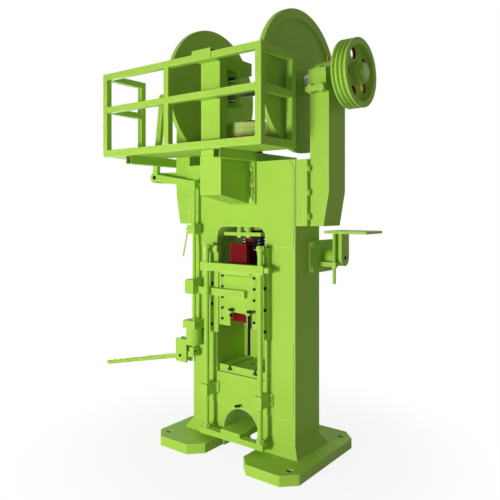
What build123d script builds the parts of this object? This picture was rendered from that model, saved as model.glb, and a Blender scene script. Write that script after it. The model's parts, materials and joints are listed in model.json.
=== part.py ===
from build123d import *
from math import atan, cos, degrees, hypot, radians, sin, tan
import os

os.makedirs("parts", exist_ok=True)

# Friction screw press. Millimetres, +Z up, front towards -Y, +X to the viewer's right.
# The origin is the centre of the foundation bolts, on the floor.

# Clearances used all over the machine
overrun = 5
bolt_clearance = 0.5
running_gap = 0.05
way_gap = 3
loose_gap = 2

# Frame casting: feet, columns, bed and crown
body_width = 800
body_depth = 276
bed_seat = 465
die_height = 290
ram_height = 290
headroom = 305
crown_height = 400
opening_width = 380
opening_corner = 60
arch_width = 270
arch_spring = 120
foot_heel = 15
foot_out = 135
foot_reach = 250
foot_thickness = 60
foot_corner = 80
anchor_edge_x = 70
anchor_edge_y = 88
anchor_hole = 42
skirt_out = 40
skirt_height = 60
panel_rise = 6
panel_inset = 8
panel_gap = 4
crown_panel_corner = 70
lower_panel_rise = 8
lower_panel_corner = 55
pad_out = 55
pad_inset = 8
pad_height = 388

# Bolster on the bed
bolster_thickness = 45
bolster_inset = 14
bolster_gap = 4
slot_spacing = 200
slot_width = 22
slot_head_width = 38
slot_head_height = 16
slot_depth = 32

# Screw, nut and flywheel
screw_radius = 60
screw_foot_depth = 80
thrust_width = 15
thrust_height = 28
spindle_step = 10
spindle_end = 10
nut_wall = 20
nut_flange_width = 10
nut_flange = 23
rim_clearance = 80
rim_height = 90
rim_width = 62
web_rise = 35
web_thickness = 32
hub_wall = 45
hub_drop = 10
lining_thickness = 9
lining_band_gap = 5
lining_band_depth = 3
flywheel_nut_height = 42
flywheel_nut_wall = 30

# Friction drive shaft
shaft_radius = 40
shaft_left_stub = 80
shaft_right_stub = 3
disc_inner_face = 330
disc_margin = 112
disc_clearance = 50
disc_thickness = 32
disc_rim_width = 55
disc_web = 18
disc_hub_radius = 85
disc_hub_length = 70
friction_gap = 12
pulley_offset = 64
pulley_radius = 196
groove_count = 3
groove_land = 3.5
groove_wall = 9
groove_top = 22
groove_bottom = 9
groove_depth = 19
pulley_rim = 34
pulley_web = 22
pulley_hub_radius = 66
pulley_hole_count = 5
pulley_hole_wall = 14
shaft_nut_length = 24
shaft_nut_radius = 58
shoulder_radius = 52
shoulder_length = 13

# Arms that carry the shaft
arm_width = 125
arm_flange_lip = 32
arm_toe = 90
arm_knee_rise = 198
arm_flange = 20
arm_bolt_size = 20
arm_bolt_rows = 3
arm_bolt_low = 53
arm_bolt_high = 55
arm_bolt_edge = 16

# Split bearings on the arms
bearing_height = 100
bearing_base_lip = 30
bearing_base_inset = 2
bearing_base_height = 30
bearing_length = 250
bearing_width = 115
bush_wall = 12
cap_shoulder = 34
cap_lip = 33
bearing_bolt_size = 16
bearing_bolt_spacing = 74
bearing_bolt_edge = 15
cap_bolt_edge = 16
oil_cup_radius = 13
oil_cup_height = 34

# Front bracket, post and overarm
bracket_width = 160
bracket_head = 25
bracket_height = 260
bracket_slope = 53
bracket_lip = 44
bracket_flange = 20
bracket_bolt_size = 16
bracket_bolt_rows = 3
bracket_bolt_low = 25
bracket_bolt_high = 47
bracket_bolt_edge = 22
post_width = 144
post_depth = 64
post_head = 14
overarm_width = 100
overarm_height = 79
overarm_end = 90
clip_thickness = 6
clip_drop = 58

# Brake that hangs from the overarm above the flywheel
brake_set_back = 200
brake_plate_width = 124
brake_plate_depth = 60
brake_plate_height = 30
brake_rod_radius = 9
brake_rod_spacing = 92
brake_rise = 126
brake_pad_height = 16

# Guard cage and platform
cage_left_out = 280
cage_end_gap = 18
cage_mid_post = 290
cage_room = 35
cage_rear_gap = 5
cage_rise = 125
cage_mid_drop = 238
bar_width = 40
floor_gap = 12
floor_thickness = 6
beam_width = 50
beam_height = 55
beam_wall = 4
left_beam_rear = 102
right_beam_rear = 162
right_beam_gap = 5

# Ram, its ways and what it carries
shank_radius = 25
shank_depth = 90
plate_inset = 35
plate_thickness = 30
plate_drop = 26
plate_rise = 45
notch_width = 130
notch_height = 86
plate_bolt_size = 14
plate_bolt_rows = 5
plate_bolt_edge = 30
plate_bolt_low = 41
plate_bolt_high = 50
crest_width = 124
crest_height = 155
retainer_width = 40
retainer_height = 30
gib_cover = 35
gib_thickness = 34
gib_drop = 78
gib_headroom = 121
gib_lug_height = 44
gib_lug_rise = 14
rear_gib_thickness = 27
rear_cover = 6
rear_cover_lap = 20
gib_bolt_size = 14
gib_bolt_rows = 4
gib_bolt_low = 48
gib_bolt_high = 114

# Stop springs under the crown
stop_plate_side_gap = 45
stop_bolt_gap = 15
stop_plate_thickness = 22
stop_gap = 35
stop_bore_gap = 12
stop_bolt_size = 20
stop_bolt_spacing_x = 70
stop_bolt_edge = 23
spacer_radius = 18
spring_gap = 13.5
spring_y = 72
spring_length = 82
spring_radius = 38
spring_wire = 11
spring_turns = 4
stud_radius = 12
stud_cap = 6
brake_spring_radius = 20
brake_spring_wire = 7
brake_spring_turns = 7

# Ejector under the bed
ejector_side = 20
ejector_gap = 9.5
ejector_rod_radius = 16
ejector_rod_rise = 165
ejector_nut_height = 23
ejector_nut_radius = 25
cross_bar_gap = 30
cross_bar_height = 35
cross_bar_depth = 50
cross_bar_end = 35
cross_block_width = 150
cross_block_height = 60
tongue_width = 140
tongue_height = 40
tongue_end = 60
ejector_pin_radius = 20
ejector_pin_recess = 15
guide_height = 70
guide_drop = 135
guide_width = 52
guide_flange_width = 84
guide_flange = 14
lift_bar_end = 35
lift_bar_drop = 15
lift_bar_height = 50
lift_bar_depth = 48
lift_carrier_width = 220
lift_carrier_height = 30
lift_stop_length = 33
lift_stop_size = 28

# Hand lever, operating rod and bell crank
rod_side = 130
rod_gap = 4
rod_radius = 12
rod_drop = 35
housing_radius = 52
housing_height = 107
housing_plate_width = 120
housing_plate_thickness = 16
housing_plate_height = 118
housing_plate_drop = 28
housing_cap_size = 104
housing_cap_height = 50
lever_arm = 94
lever_drop = 83
lever_droop = 12.6
lever_length = 785
lever_radius = 16.5
lever_flat_height = 36
lever_flat_thickness = 30
lever_flat_reach = 60
lever_pin_radius = 10
cheek_thickness = 14
cheek_gap = 3
cheek_reach = 41
cheek_root = 40
cheek_drop = 40
cheek_rise = 27
clevis_width = 36
clevis_bridge = 20
clevis_cheek = 8
clevis_gap = 6
clevis_pin_radius = 7
rod_block_width = 40
rod_block_height = 50
rod_block_depth = 31
rod_block_pin_radius = 8
dog_width = 64
dog_height = 60
dog_rise = 71
handle_screw_radius = 9
handle_screw_length = 50
handle_screw_in = 20
handle_radius = 5
handle_drop = 180
handle_lean = 42
crank_out = 135
crank_drop = 70
crank_set_back = 22
crank_thickness = 28
crank_hub_radius = 38
crank_arm_width = 44
crank_tip_radius = 24
crank_pin_radius = 11
fulcrum_pin_radius = 15
fulcrum_arm_height = 76
fulcrum_arm_depth = 40
fulcrum_edge = 8
fulcrum_plate_thickness = 12
fulcrum_plate_rear = 60
fulcrum_plate_height = 118
collar_out = 65
collar_radius = 75
collar_length = 66
collar_pin_depth = 22

# Trip arm and die clamp bolts on the ram
trip_rise = 160
trip_height = 45
trip_thickness = 20
trip_right_end = 70
trip_gap = 6
trip_block_size = 72
trip_block_rise = 45
trip_knob_radius = 14
trip_knob_length = 24
clamp_lug_width = 32
clamp_head_gap = 1
clamp_lug_height = 14
clamp_bolt_radius = 9
clamp_bolt_head = 16
clamp_bolt_head_height = 13
left_clamp_x = -45
clamp_side_gap = 1.1
left_clamp_drop = 36
right_clamp_drop = 258

# Motor bracket on the right side
motor_plate_offset = 65
motor_edge_x = 32
motor_plate_set_back = 116
motor_edge_y = 21
motor_plate_drop = 49
motor_plate_thickness = 16
motor_hole_radius = 7
motor_hole_spacing_x = 216
motor_hole_spacing_y = 178
bracket_plate_thickness = 20
bracket_plate_depth = 282
bracket_plate_height = 197
bracket_plate_drop = 44
bracket_plate_back = 81
hinge_out = 58
hinge_drop = 152
hinge_pin_radius = 12
hinge_end_radius = 50
hinge_boss_length = 78
hinge_lug_thickness = 50
tension_gap = 26
tension_offset = 115
tension_radius = 10
tension_length = 306
tension_ear_drop = 202
tension_ear_height = 26
tension_ear_width = 36

# Proportions of hexagon heads, as shares of the bolt's size
head_width_share = 1.7
head_height_share = 0.65

# Positions that follow from the sizes above
half_body = body_width / 2
half_depth = body_depth / 2
half_opening = opening_width / 2
front_panel = half_depth + panel_rise
arch_radius = arch_width / 2
foot_inner = arch_radius + foot_heel
foot_outer = half_body + foot_out
foot_length = body_depth + 2 * foot_reach
anchor_spacing_x = 2 * (foot_outer - anchor_edge_x)
anchor_spacing_y = foot_length - 2 * anchor_edge_y
bed_top = bed_seat + bolster_thickness
ram_bottom = bed_top + die_height
ram_top = ram_bottom + ram_height
daylight_top = ram_top + headroom
crown_top = daylight_top + crown_height

pad_face = half_body + pad_out
pad_depth = body_depth - 2 * pad_inset
pad_bottom = crown_top - pad_height
arm_depth = pad_depth - 2 * arm_flange_lip
arm_inner = pad_face + arm_flange
arm_outer = arm_inner + arm_width
bearing_x = (arm_inner + arm_outer) / 2
bush_radius = shaft_radius + bush_wall
bearing_base_length = bearing_length + 2 * bearing_base_lip
cap_radius = bearing_length / 2 - cap_lip

nut_radius = screw_radius + nut_wall
nut_flange_radius = nut_radius + nut_flange_width
thrust_radius = screw_radius + thrust_width
thrust_bottom = ram_top - thrust_height - running_gap
retainer_radius = thrust_radius + retainer_width
screw_foot = ram_top - screw_foot_depth
floor_bottom = crown_top + beam_height
rim_bottom = floor_bottom + rim_clearance
rim_top = rim_bottom + rim_height
web_bottom = rim_bottom + web_rise
spindle_radius = screw_radius - spindle_step
spindle_bottom = rim_bottom - hub_drop
spindle_top = rim_top + flywheel_nut_height + spindle_end
hub_radius = spindle_radius + hub_wall
flywheel_nut_radius = spindle_radius + flywheel_nut_wall
lining_radius = disc_inner_face - friction_gap
rim_radius = lining_radius - lining_thickness

disc_radius = lining_radius + disc_margin
disc_back = disc_inner_face + disc_thickness
shaft_height = crown_top + disc_clearance + disc_radius
shaft_axis = Axis((0, 0, shaft_height), (1, 0, 0))
arm_top = shaft_height - bearing_height
groove_pitch = groove_top + groove_land
groove_edge = groove_top / 2 + groove_wall
pulley_width = 2 * groove_edge + (groove_count - 1) * groove_pitch
pulley_inner_face = arm_outer + pulley_offset
pulley_middle = pulley_inner_face + pulley_width / 2
pulley_outer_face = pulley_inner_face + pulley_width
pulley_hole_circle = (pulley_radius - pulley_rim + pulley_hub_radius) / 2
collar_x = -arm_outer - collar_out
shaft_left_end = shaft_left_stub - collar_x
shaft_right_end = pulley_outer_face + shaft_nut_length + shaft_right_stub

bracket_flange_width = bracket_width + 2 * bracket_lip
bracket_front = disc_radius
bracket_top = crown_top + bracket_head
bracket_rear_bottom = crown_top - bracket_height
bracket_front_bottom = bracket_rear_bottom + bracket_slope
right_beam_x = (bracket_width + beam_width) / 2 + right_beam_gap
cage_top = shaft_height + cage_rise
cage_bottom = floor_bottom + floor_thickness
cage_mid_height = cage_top - cage_mid_drop
cage_inner = disc_radius + cage_room
cage_front = cage_inner + bar_width
cage_rear = bearing_base_length / 2 + cage_rear_gap
cage_left = arm_outer + cage_left_out
cage_right = disc_back + cage_end_gap + bar_width
post_top = cage_top + post_head
brake_y = bracket_front - brake_set_back
brake_pad_top = rim_top + brake_rise
brake_plate_bottom = post_top - overarm_height - brake_plate_height

plate_width = opening_width - 2 * plate_inset
plate_front = half_depth - loose_gap + plate_thickness
plate_bottom = ram_bottom - plate_drop
plate_top = ram_top + plate_rise
notch_top = plate_bottom + notch_height
clamp_lug_depth = 2 * (clamp_bolt_head + clamp_head_gap)
plate_bolt_x = plate_width / 2 - plate_bolt_edge
right_clamp_x = plate_bolt_x - plate_bolt_size * head_width_share / 2 - clamp_bolt_head - clamp_side_gap
gib_inner = plate_width / 2 + way_gap
gib_outer = half_opening + gib_cover
gib_bottom = ram_bottom - gib_drop
gib_top = daylight_top - gib_headroom
lower_panel_bottom = arch_spring + arch_radius + lower_panel_rise
lower_panel_top = gib_bottom - panel_gap
crown_panel_bottom = gib_top + panel_gap
stop_plate_width = opening_width - 2 * stop_plate_side_gap
stop_bolt_y = nut_flange_radius + stop_bolt_gap
stop_plate_depth = 2 * (stop_bolt_y + stop_bolt_edge)
stop_plate_top = daylight_top - stop_gap
stop_plate_bottom = stop_plate_top - stop_plate_thickness
stop_plate_bore = screw_radius + stop_bore_gap
spring_bottom = stop_plate_bottom - spring_length
spring_x = stop_bolt_spacing_x / 2 + spring_radius + spring_wire / 2 + spring_gap

ejector_x = half_opening + ejector_side
trip_back = half_depth + gib_thickness + trip_gap
ejector_y = trip_back + trip_thickness + ejector_gap + ejector_rod_radius
cross_bar_bottom = foot_thickness + cross_bar_gap
cross_bar_width = 2 * (ejector_x + cross_bar_end)
ejector_pin_top = bed_top - ejector_pin_recess
guide_bottom = bed_seat - guide_drop
lift_bar_bottom = plate_top - lift_bar_drop
lift_bar_width = 2 * (ejector_x + lift_bar_end)
ejector_rod_top = lift_bar_bottom + ejector_rod_rise
trip_bottom = ram_bottom + trip_rise

rod_x = -ejector_x - rod_side
rod_y = -front_panel - housing_radius - rod_gap
crank_x = -arm_outer - crank_out
crank_z = crown_top - crank_drop
crank_front = -rod_y - crank_set_back
rod_top = crank_z - rod_drop
dog_bottom = gib_top + dog_rise
fulcrum_arm_front = arm_depth / 2 - fulcrum_edge
fulcrum_arm_rear = fulcrum_arm_front - fulcrum_arm_depth
floor_rear = crank_front + floor_gap
housing_plate_bottom = lower_panel_top - housing_plate_height
housing_bottom = housing_plate_bottom + housing_plate_drop
housing_top = housing_bottom + housing_height
lever_pivot_x = rod_x - lever_arm
lever_pivot_z = housing_bottom - lever_drop
cheek_left = lever_pivot_x - cheek_reach
cheek_bottom = lever_pivot_z - cheek_drop
cheek_top = housing_bottom + cheek_rise
lever_direction = (cos(radians(lever_droop)), 0, sin(radians(lever_droop)))
lever_short_arm = lever_arm / cos(radians(lever_droop))
lever_end_z = lever_pivot_z + lever_arm * tan(radians(lever_droop))
rod_pin_z = rod_top - rod_block_height / 2
crank_middle = crank_front - crank_thickness / 2

motor_plate_left = half_body + motor_plate_offset
motor_plate_width = motor_hole_spacing_x + 2 * motor_edge_x
motor_plate_depth = motor_hole_spacing_y + 2 * motor_edge_y
motor_plate_bottom = pad_bottom - motor_plate_drop
hinge_y = half_depth + hinge_out
hinge_z = motor_plate_bottom - hinge_drop
motor_plate_front = hinge_y - motor_plate_set_back
bracket_plate_top = motor_plate_bottom - bracket_plate_drop
bracket_plate_bottom = bracket_plate_top - bracket_plate_height
bracket_plate_rear = hinge_y + bracket_plate_back
bracket_plate_front = bracket_plate_rear - bracket_plate_depth
tension_x = half_body + tension_offset
tension_y = hinge_y - hinge_end_radius - tension_gap
tension_bottom = motor_plate_bottom - tension_length
tension_ear_bottom = motor_plate_bottom - tension_ear_drop
sides = (("left", -1), ("right", 1))


def spread(low, high, count):
    """Heights of count rows, evenly spaced from low to high."""
    return [low + (high - low) * row / (count - 1) for row in range(count)]


def hex_bolts(places, size, grip):
    """Hexagon bolts whose heads sit on the given planes and whose shanks run grip deep."""
    with BuildPart() as bolts:
        with BuildSketch(*places):
            RegularPolygon(size * head_width_share / 2, 6)
        extrude(amount=size * head_height_share)
        with BuildSketch(*places):
            Circle(size / 2)
        extrude(amount=-grip)
    return bolts.part


def arm_bolt_places(sign, x):
    """Planes of one arm's flange bolts at the given distance from the middle."""
    edge = pad_depth / 2 - arm_bolt_edge
    return [
        Plane(origin=(sign * x, y, z), z_dir=(sign, 0, 0))
        for y in (-edge, edge)
        for z in spread(pad_bottom + arm_bolt_low, crown_top - arm_bolt_high, arm_bolt_rows)
    ]


def bracket_bolt_places(y):
    """Planes of the front bracket's bolts on the given plane in front of the crown."""
    edge = bracket_flange_width / 2 - bracket_bolt_edge
    return [
        Plane(origin=(x, -y, z), z_dir=(0, -1, 0))
        for x in (-edge, edge)
        for z in spread(bracket_rear_bottom + bracket_bolt_low, crown_top - bracket_bolt_high,
                        bracket_bolt_rows)
    ]


def stop_bolt_places(z):
    """Planes of the stop plate's bolts, heads down, at the given height."""
    return [
        Plane(origin=(x, y, z), z_dir=(0, 0, -1))
        for x in (-stop_bolt_spacing_x / 2, stop_bolt_spacing_x / 2)
        for y in (-stop_bolt_y, stop_bolt_y)
    ]


def gib_bolt_places():
    """Planes of the front gibs' cap screws, on the gibs' front faces."""
    x = (half_opening + gib_outer) / 2
    return [
        Plane(origin=(sign * x, -half_depth - gib_thickness, z), z_dir=(0, -1, 0))
        for sign in (-1, 1)
        for z in spread(gib_bottom + gib_bolt_low, gib_top - gib_bolt_high, gib_bolt_rows)
    ]


def bearing_bolt_places(z):
    """Planes of the bearing bases' bolts at the given height."""
    edge = bearing_base_length / 2 - bearing_bolt_edge
    return [
        Plane(origin=(sign * bearing_x + dx, y, z))
        for sign in (-1, 1)
        for dx in (-bearing_bolt_spacing / 2, bearing_bolt_spacing / 2)
        for y in (-edge, edge)
    ]


def cap_bolt_places(z):
    """Planes of the bearing caps' bolts at the given height."""
    edge = bearing_length / 2 - cap_bolt_edge
    return [
        Plane(origin=(sign * bearing_x, y, z))
        for sign in (-1, 1)
        for y in (-edge, edge)
    ]


def plate_bolt_places():
    """Planes of the ram front plate's screws."""
    return [
        Plane(origin=(sign * plate_bolt_x, -plate_front, z), z_dir=(0, -1, 0))
        for sign in (-1, 1)
        for z in spread(plate_bottom + plate_bolt_low, plate_top - plate_bolt_high, plate_bolt_rows)
    ]


def coil(place, length, radius, wire, turns):
    """Coil spring of square wire that stands on the given point, its axis vertical."""
    with BuildPart() as spring:
        with BuildLine() as path:
            Helix(pitch=(length - wire) / turns, height=length - wire, radius=radius,
                  center=(place[0], place[1], place[2] + wire / 2))
        with BuildSketch(Plane(origin=path.line @ 0, z_dir=path.line % 0)):
            Rectangle(wire, wire)
        sweep(is_frenet=True)
    return spring.part


# Frame casting: the columns, bed and crown are one block with two openings through it
with BuildPart() as frame_casting:
    with BuildSketch(Plane.XZ):
        with Locations((0, crown_top / 2)):
            Rectangle(body_width, crown_top)
    extrude(amount=half_depth, both=True)
    for side, sign in sides:
        with BuildSketch(Plane.XY):
            with Locations((sign * (foot_inner + foot_outer) / 2, 0)):
                foot = Rectangle(foot_outer - foot_inner, foot_length)
            chamfer(foot.vertices(), foot_corner)
        extrude(amount=foot_thickness)
    with BuildSketch(Plane.XY.offset(foot_thickness)):
        Rectangle(body_width + 2 * skirt_out, body_depth + 2 * skirt_out)
    extrude(amount=skirt_height, taper=degrees(atan(skirt_out / skirt_height)))
    with BuildSketch(Plane.XZ.offset(half_depth)):
        with Locations((0, (crown_panel_bottom + crown_top) / 2)):
            crown_panel = Rectangle(body_width - 2 * panel_inset, crown_top - crown_panel_bottom)
        fillet(crown_panel.vertices().group_by(Axis.Y)[-1], crown_panel_corner)
    extrude(amount=panel_rise)
    with BuildSketch(Plane.XZ.offset(half_depth)):
        with Locations((0, (lower_panel_bottom + lower_panel_top) / 2)):
            lower_panel = Rectangle(body_width - 2 * panel_inset, lower_panel_top - lower_panel_bottom)
        fillet(lower_panel.vertices().group_by(Axis.Y)[0], lower_panel_corner)
    extrude(amount=panel_rise)
    for side, sign in sides:
        with BuildSketch(Plane.YZ.offset(sign * half_body)):
            with Locations((0, (pad_bottom + crown_top) / 2)):
                Rectangle(pad_depth, crown_top - pad_bottom)
        extrude(amount=sign * pad_out)
    with BuildSketch(Plane.XZ.offset(half_depth + skirt_out + overrun)):
        with Locations((0, (bed_seat + daylight_top) / 2)):
            daylight = Rectangle(opening_width, daylight_top - bed_seat)
        fillet(daylight.vertices().group_by(Axis.Y)[-1], opening_corner)
        with Locations((0, arch_spring)):
            Circle(arch_radius)
        with Locations((0, (arch_spring - overrun) / 2)):
            Rectangle(arch_width, arch_spring + overrun)
    extrude(amount=-2 * (half_depth + skirt_out + overrun), mode=Mode.SUBTRACT)
    with Locations((0, 0, crown_top)):
        Hole(nut_radius, crown_top - daylight_top)
    with Locations((0, 0, bed_seat)):
        Hole(ejector_pin_radius + loose_gap, bed_seat - arch_spring)
    with Locations((0, 0, foot_thickness)):
        with GridLocations(anchor_spacing_x, anchor_spacing_y, 2, 2):
            Hole(anchor_hole / 2, foot_thickness)
    for side, sign in sides:
        with BuildSketch(*arm_bolt_places(sign, pad_face)):
            Circle(arm_bolt_size / 2 + bolt_clearance)
        extrude(amount=-arm_bolt_size, mode=Mode.SUBTRACT)
    with BuildSketch(*bracket_bolt_places(front_panel)):
        Circle(bracket_bolt_size / 2 + bolt_clearance)
    extrude(amount=-bracket_bolt_size, mode=Mode.SUBTRACT)
    with BuildSketch(*stop_bolt_places(daylight_top)):
        Circle(stop_bolt_size / 2 + bolt_clearance)
    extrude(amount=-stop_bolt_size, mode=Mode.SUBTRACT)
frame_casting.part.label = "frame_casting"
export_step(frame_casting.part, "parts/frame_casting.step")

# Bolster plate with two T-slots that run front to back
with BuildPart() as bolster_plate:
    bolster_length = body_depth - 2 * bolster_inset
    with BuildSketch(Plane.XY.offset(bed_seat)):
        Rectangle(opening_width - 2 * bolster_gap, bolster_length)
        Circle(ejector_pin_radius + loose_gap, mode=Mode.SUBTRACT)
    extrude(amount=bolster_thickness)
    with BuildSketch(Plane.XZ.offset(bolster_length / 2 + overrun)):
        with Locations((-slot_spacing / 2, bed_top), (slot_spacing / 2, bed_top)):
            Rectangle(slot_width, 2 * slot_depth)
        with Locations((-slot_spacing / 2, bed_top - slot_depth), (slot_spacing / 2, bed_top - slot_depth)):
            Rectangle(slot_head_width, slot_head_height, align=(Align.CENTER, Align.MIN))
    extrude(amount=-bolster_length - 2 * overrun, mode=Mode.SUBTRACT)
bolster_plate.part.label = "bolster_plate"
export_step(bolster_plate.part, "parts/bolster_plate.step")

# Bronze nut pressed into the crown from below
with BuildPart() as screw_nut:
    with BuildSketch(Plane.XY.offset(daylight_top)):
        Circle(nut_radius)
        Circle(screw_radius + running_gap, mode=Mode.SUBTRACT)
    extrude(amount=crown_top - daylight_top)
    with BuildSketch(Plane.XY.offset(daylight_top)):
        Circle(nut_flange_radius)
        Circle(screw_radius + running_gap, mode=Mode.SUBTRACT)
    extrude(amount=-nut_flange)
screw_nut.part.label = "screw_nut"
export_step(screw_nut.part, "parts/screw_nut.step")

# Stop plate that hangs under the crown on four spacers
with BuildPart() as stop_plate:
    with BuildSketch(Plane.XY.offset(stop_plate_bottom)):
        Rectangle(stop_plate_width, stop_plate_depth)
        Circle(stop_plate_bore, mode=Mode.SUBTRACT)
    extrude(amount=stop_plate_thickness)
    with BuildSketch(*stop_bolt_places(stop_plate_top)):
        Circle(spacer_radius)
    extrude(amount=stop_plate_top - daylight_top)
    with BuildSketch(*stop_bolt_places(stop_plate_bottom)):
        Circle(stop_bolt_size / 2 + bolt_clearance)
    extrude(amount=stop_plate_bottom - daylight_top, mode=Mode.SUBTRACT)
stop_plate.part.label = "stop_plate"
export_step(stop_plate.part, "parts/stop_plate.step")

# Two stop springs under the plate and the brake spring below the overarm
with BuildPart() as stop_springs:
    for side, sign in sides:
        add(coil((sign * spring_x, -sign * spring_y, spring_bottom), spring_length,
                 spring_radius, spring_wire, spring_turns))
    add(coil((0, -brake_y, brake_pad_top), brake_plate_bottom - brake_pad_top,
             brake_spring_radius, brake_spring_wire, brake_spring_turns))
stop_springs.part.label = "stop_springs"
export_step(stop_springs.part, "parts/stop_springs.step")

# Studs that hold the stop springs up
with BuildPart() as spring_studs:
    for side, sign in sides:
        with BuildSketch(Plane.XY.offset(stop_plate_bottom)):
            with Locations((sign * spring_x, -sign * spring_y)):
                Circle(stud_radius)
        extrude(amount=-spring_length)
        with BuildSketch(Plane.XY.offset(spring_bottom)):
            with Locations((sign * spring_x, -sign * spring_y)):
                Circle(spring_radius + spring_wire / 2)
        extrude(amount=-stud_cap)
spring_studs.part.label = "spring_studs"
export_step(spring_studs.part, "parts/spring_studs.step")

# Front gibs, which hold the ram back against the columns
for side, sign in sides:
    with BuildPart() as gib:
        gib_middle = sign * (gib_inner + gib_outer) / 2
        with BuildSketch(Plane.XZ.offset(half_depth)):
            with Locations((gib_middle, (gib_bottom + gib_top) / 2)):
                Rectangle(gib_outer - gib_inner, gib_top - gib_bottom)
        extrude(amount=gib_thickness)
        with BuildSketch(Plane.XZ.offset(half_depth + gib_thickness)):
            with Locations((gib_middle, gib_top - gib_lug_height / 2)):
                Rectangle(gib_outer - gib_inner, gib_lug_height)
        extrude(amount=gib_lug_rise)
        with BuildSketch(*[p for p in gib_bolt_places() if p.origin.X * sign > 0]):
            Circle(gib_bolt_size / 2 + bolt_clearance)
        extrude(amount=-gib_thickness, mode=Mode.SUBTRACT)
        with BuildSketch(*[p for p in gib_bolt_places() if p.origin.X * sign > 0]):
            Circle(gib_bolt_size * head_width_share / 2)
        extrude(amount=-gib_bolt_size, mode=Mode.SUBTRACT)
    gib.part.label = f"{side}_gib"
    export_step(gib.part, f"parts/{side}_gib.step")

# Rear gibs, and a cover plate below them that closes the back of the die space
with BuildPart() as rear_gibs:
    with BuildSketch(Plane.XZ.offset(-half_depth)):
        with Locations((0, bed_seat - rear_cover_lap)):
            Rectangle(2 * gib_outer, lower_panel_top - bed_seat + rear_cover_lap,
                      align=(Align.CENTER, Align.MIN))
    extrude(amount=-rear_cover)
    for side, sign in sides:
        with BuildSketch(Plane.XZ.offset(-half_depth)):
            with Locations((sign * (gib_inner + gib_outer) / 2, (gib_bottom + gib_top) / 2)):
                Rectangle(gib_outer - gib_inner, gib_top - gib_bottom)
        extrude(amount=-rear_gib_thickness)
rear_gibs.part.label = "rear_gibs"
export_step(rear_gibs.part, "parts/rear_gibs.step")

# Cap screws sunk in the front gibs
with BuildPart() as gib_bolts:
    with BuildSketch(*gib_bolt_places()):
        Circle(gib_bolt_size * head_width_share / 2 - bolt_clearance)
    extrude(amount=-gib_bolt_size)
    with BuildSketch(*gib_bolt_places()):
        Circle(gib_bolt_size / 2)
    extrude(amount=-gib_thickness)
gib_bolts.part.label = "gib_bolts"
export_step(gib_bolts.part, "parts/gib_bolts.step")

# Arms: box pillars bolted to the crown's side pads
for side, sign in sides:
    with BuildPart() as arm:
        with BuildSketch(Plane.XZ):
            with BuildLine():
                Polyline(
                    (sign * arm_inner, pad_bottom),
                    (sign * (arm_inner + arm_toe), pad_bottom),
                    (sign * arm_outer, pad_bottom + arm_knee_rise),
                    (sign * arm_outer, arm_top),
                    (sign * arm_inner, arm_top),
                    close=True,
                )
            make_face()
        extrude(amount=arm_depth / 2, both=True)
        with BuildSketch(Plane.YZ.offset(sign * pad_face)):
            with Locations((0, (pad_bottom + crown_top) / 2)):
                Rectangle(pad_depth, crown_top - pad_bottom)
        extrude(amount=sign * arm_flange)
        with BuildSketch(*arm_bolt_places(sign, pad_face + arm_flange)):
            Circle(arm_bolt_size / 2 + bolt_clearance)
        extrude(amount=-arm_flange, mode=Mode.SUBTRACT)
    arm.part.label = f"{side}_arm"
    export_step(arm.part, f"parts/{side}_arm.step")

# Bolts of the arms, the front bracket and the stop plate
with BuildPart() as frame_bolts:
    for side, sign in sides:
        add(hex_bolts(arm_bolt_places(sign, arm_inner), arm_bolt_size, arm_flange + arm_bolt_size))
    add(hex_bolts(bracket_bolt_places(front_panel + bracket_flange), bracket_bolt_size,
                  bracket_flange + bracket_bolt_size))
    add(hex_bolts(stop_bolt_places(stop_plate_bottom), stop_bolt_size,
                  daylight_top - stop_plate_bottom + stop_bolt_size))
frame_bolts.part.label = "frame_bolts"
export_step(frame_bolts.part, "parts/frame_bolts.step")

# Lower halves of the split bearings
with BuildPart() as bearing_blocks:
    for side, sign in sides:
        with BuildSketch(Plane.YZ.offset(sign * bearing_x)):
            with Locations((0, arm_top)):
                Rectangle(bearing_base_length, bearing_base_height, align=(Align.CENTER, Align.MIN))
        extrude(amount=arm_width / 2 - bearing_base_inset, both=True)
        with BuildSketch(Plane.YZ.offset(sign * bearing_x)):
            with Locations((0, arm_top)):
                Rectangle(bearing_length, shaft_height - arm_top, align=(Align.CENTER, Align.MIN))
            with Locations((0, shaft_height)):
                Circle(bush_radius, mode=Mode.SUBTRACT)
        extrude(amount=bearing_width / 2, both=True)
    with BuildSketch(*bearing_bolt_places(arm_top)):
        Circle(bearing_bolt_size / 2 + bolt_clearance)
    extrude(amount=bearing_base_height, mode=Mode.SUBTRACT)
bearing_blocks.part.label = "bearing_blocks"
export_step(bearing_blocks.part, "parts/bearing_blocks.step")

# Caps of the split bearings: shoulders for the bolts and a round back
with BuildPart() as bearing_caps:
    for side, sign in sides:
        with BuildSketch(Plane.YZ.offset(sign * bearing_x)):
            with Locations((0, shaft_height)):
                Circle(cap_radius)
                Rectangle(2 * cap_radius, cap_radius, align=(Align.CENTER, Align.MAX), mode=Mode.SUBTRACT)
                Rectangle(bearing_length, cap_shoulder, align=(Align.CENTER, Align.MIN))
                Circle(bush_radius, mode=Mode.SUBTRACT)
        extrude(amount=bearing_width / 2, both=True)
bearing_caps.part.label = "bearing_caps"
export_step(bearing_caps.part, "parts/bearing_caps.step")

# Bronze bushes in which the shaft turns and slides
with BuildPart() as bearing_bushes:
    for side, sign in sides:
        with BuildSketch(Plane.YZ.offset(sign * bearing_x)):
            with Locations((0, shaft_height)):
                Circle(bush_radius)
                Circle(shaft_radius + running_gap, mode=Mode.SUBTRACT)
        extrude(amount=bearing_width / 2, both=True)
bearing_bushes.part.label = "bearing_bushes"
export_step(bearing_bushes.part, "parts/bearing_bushes.step")

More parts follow.
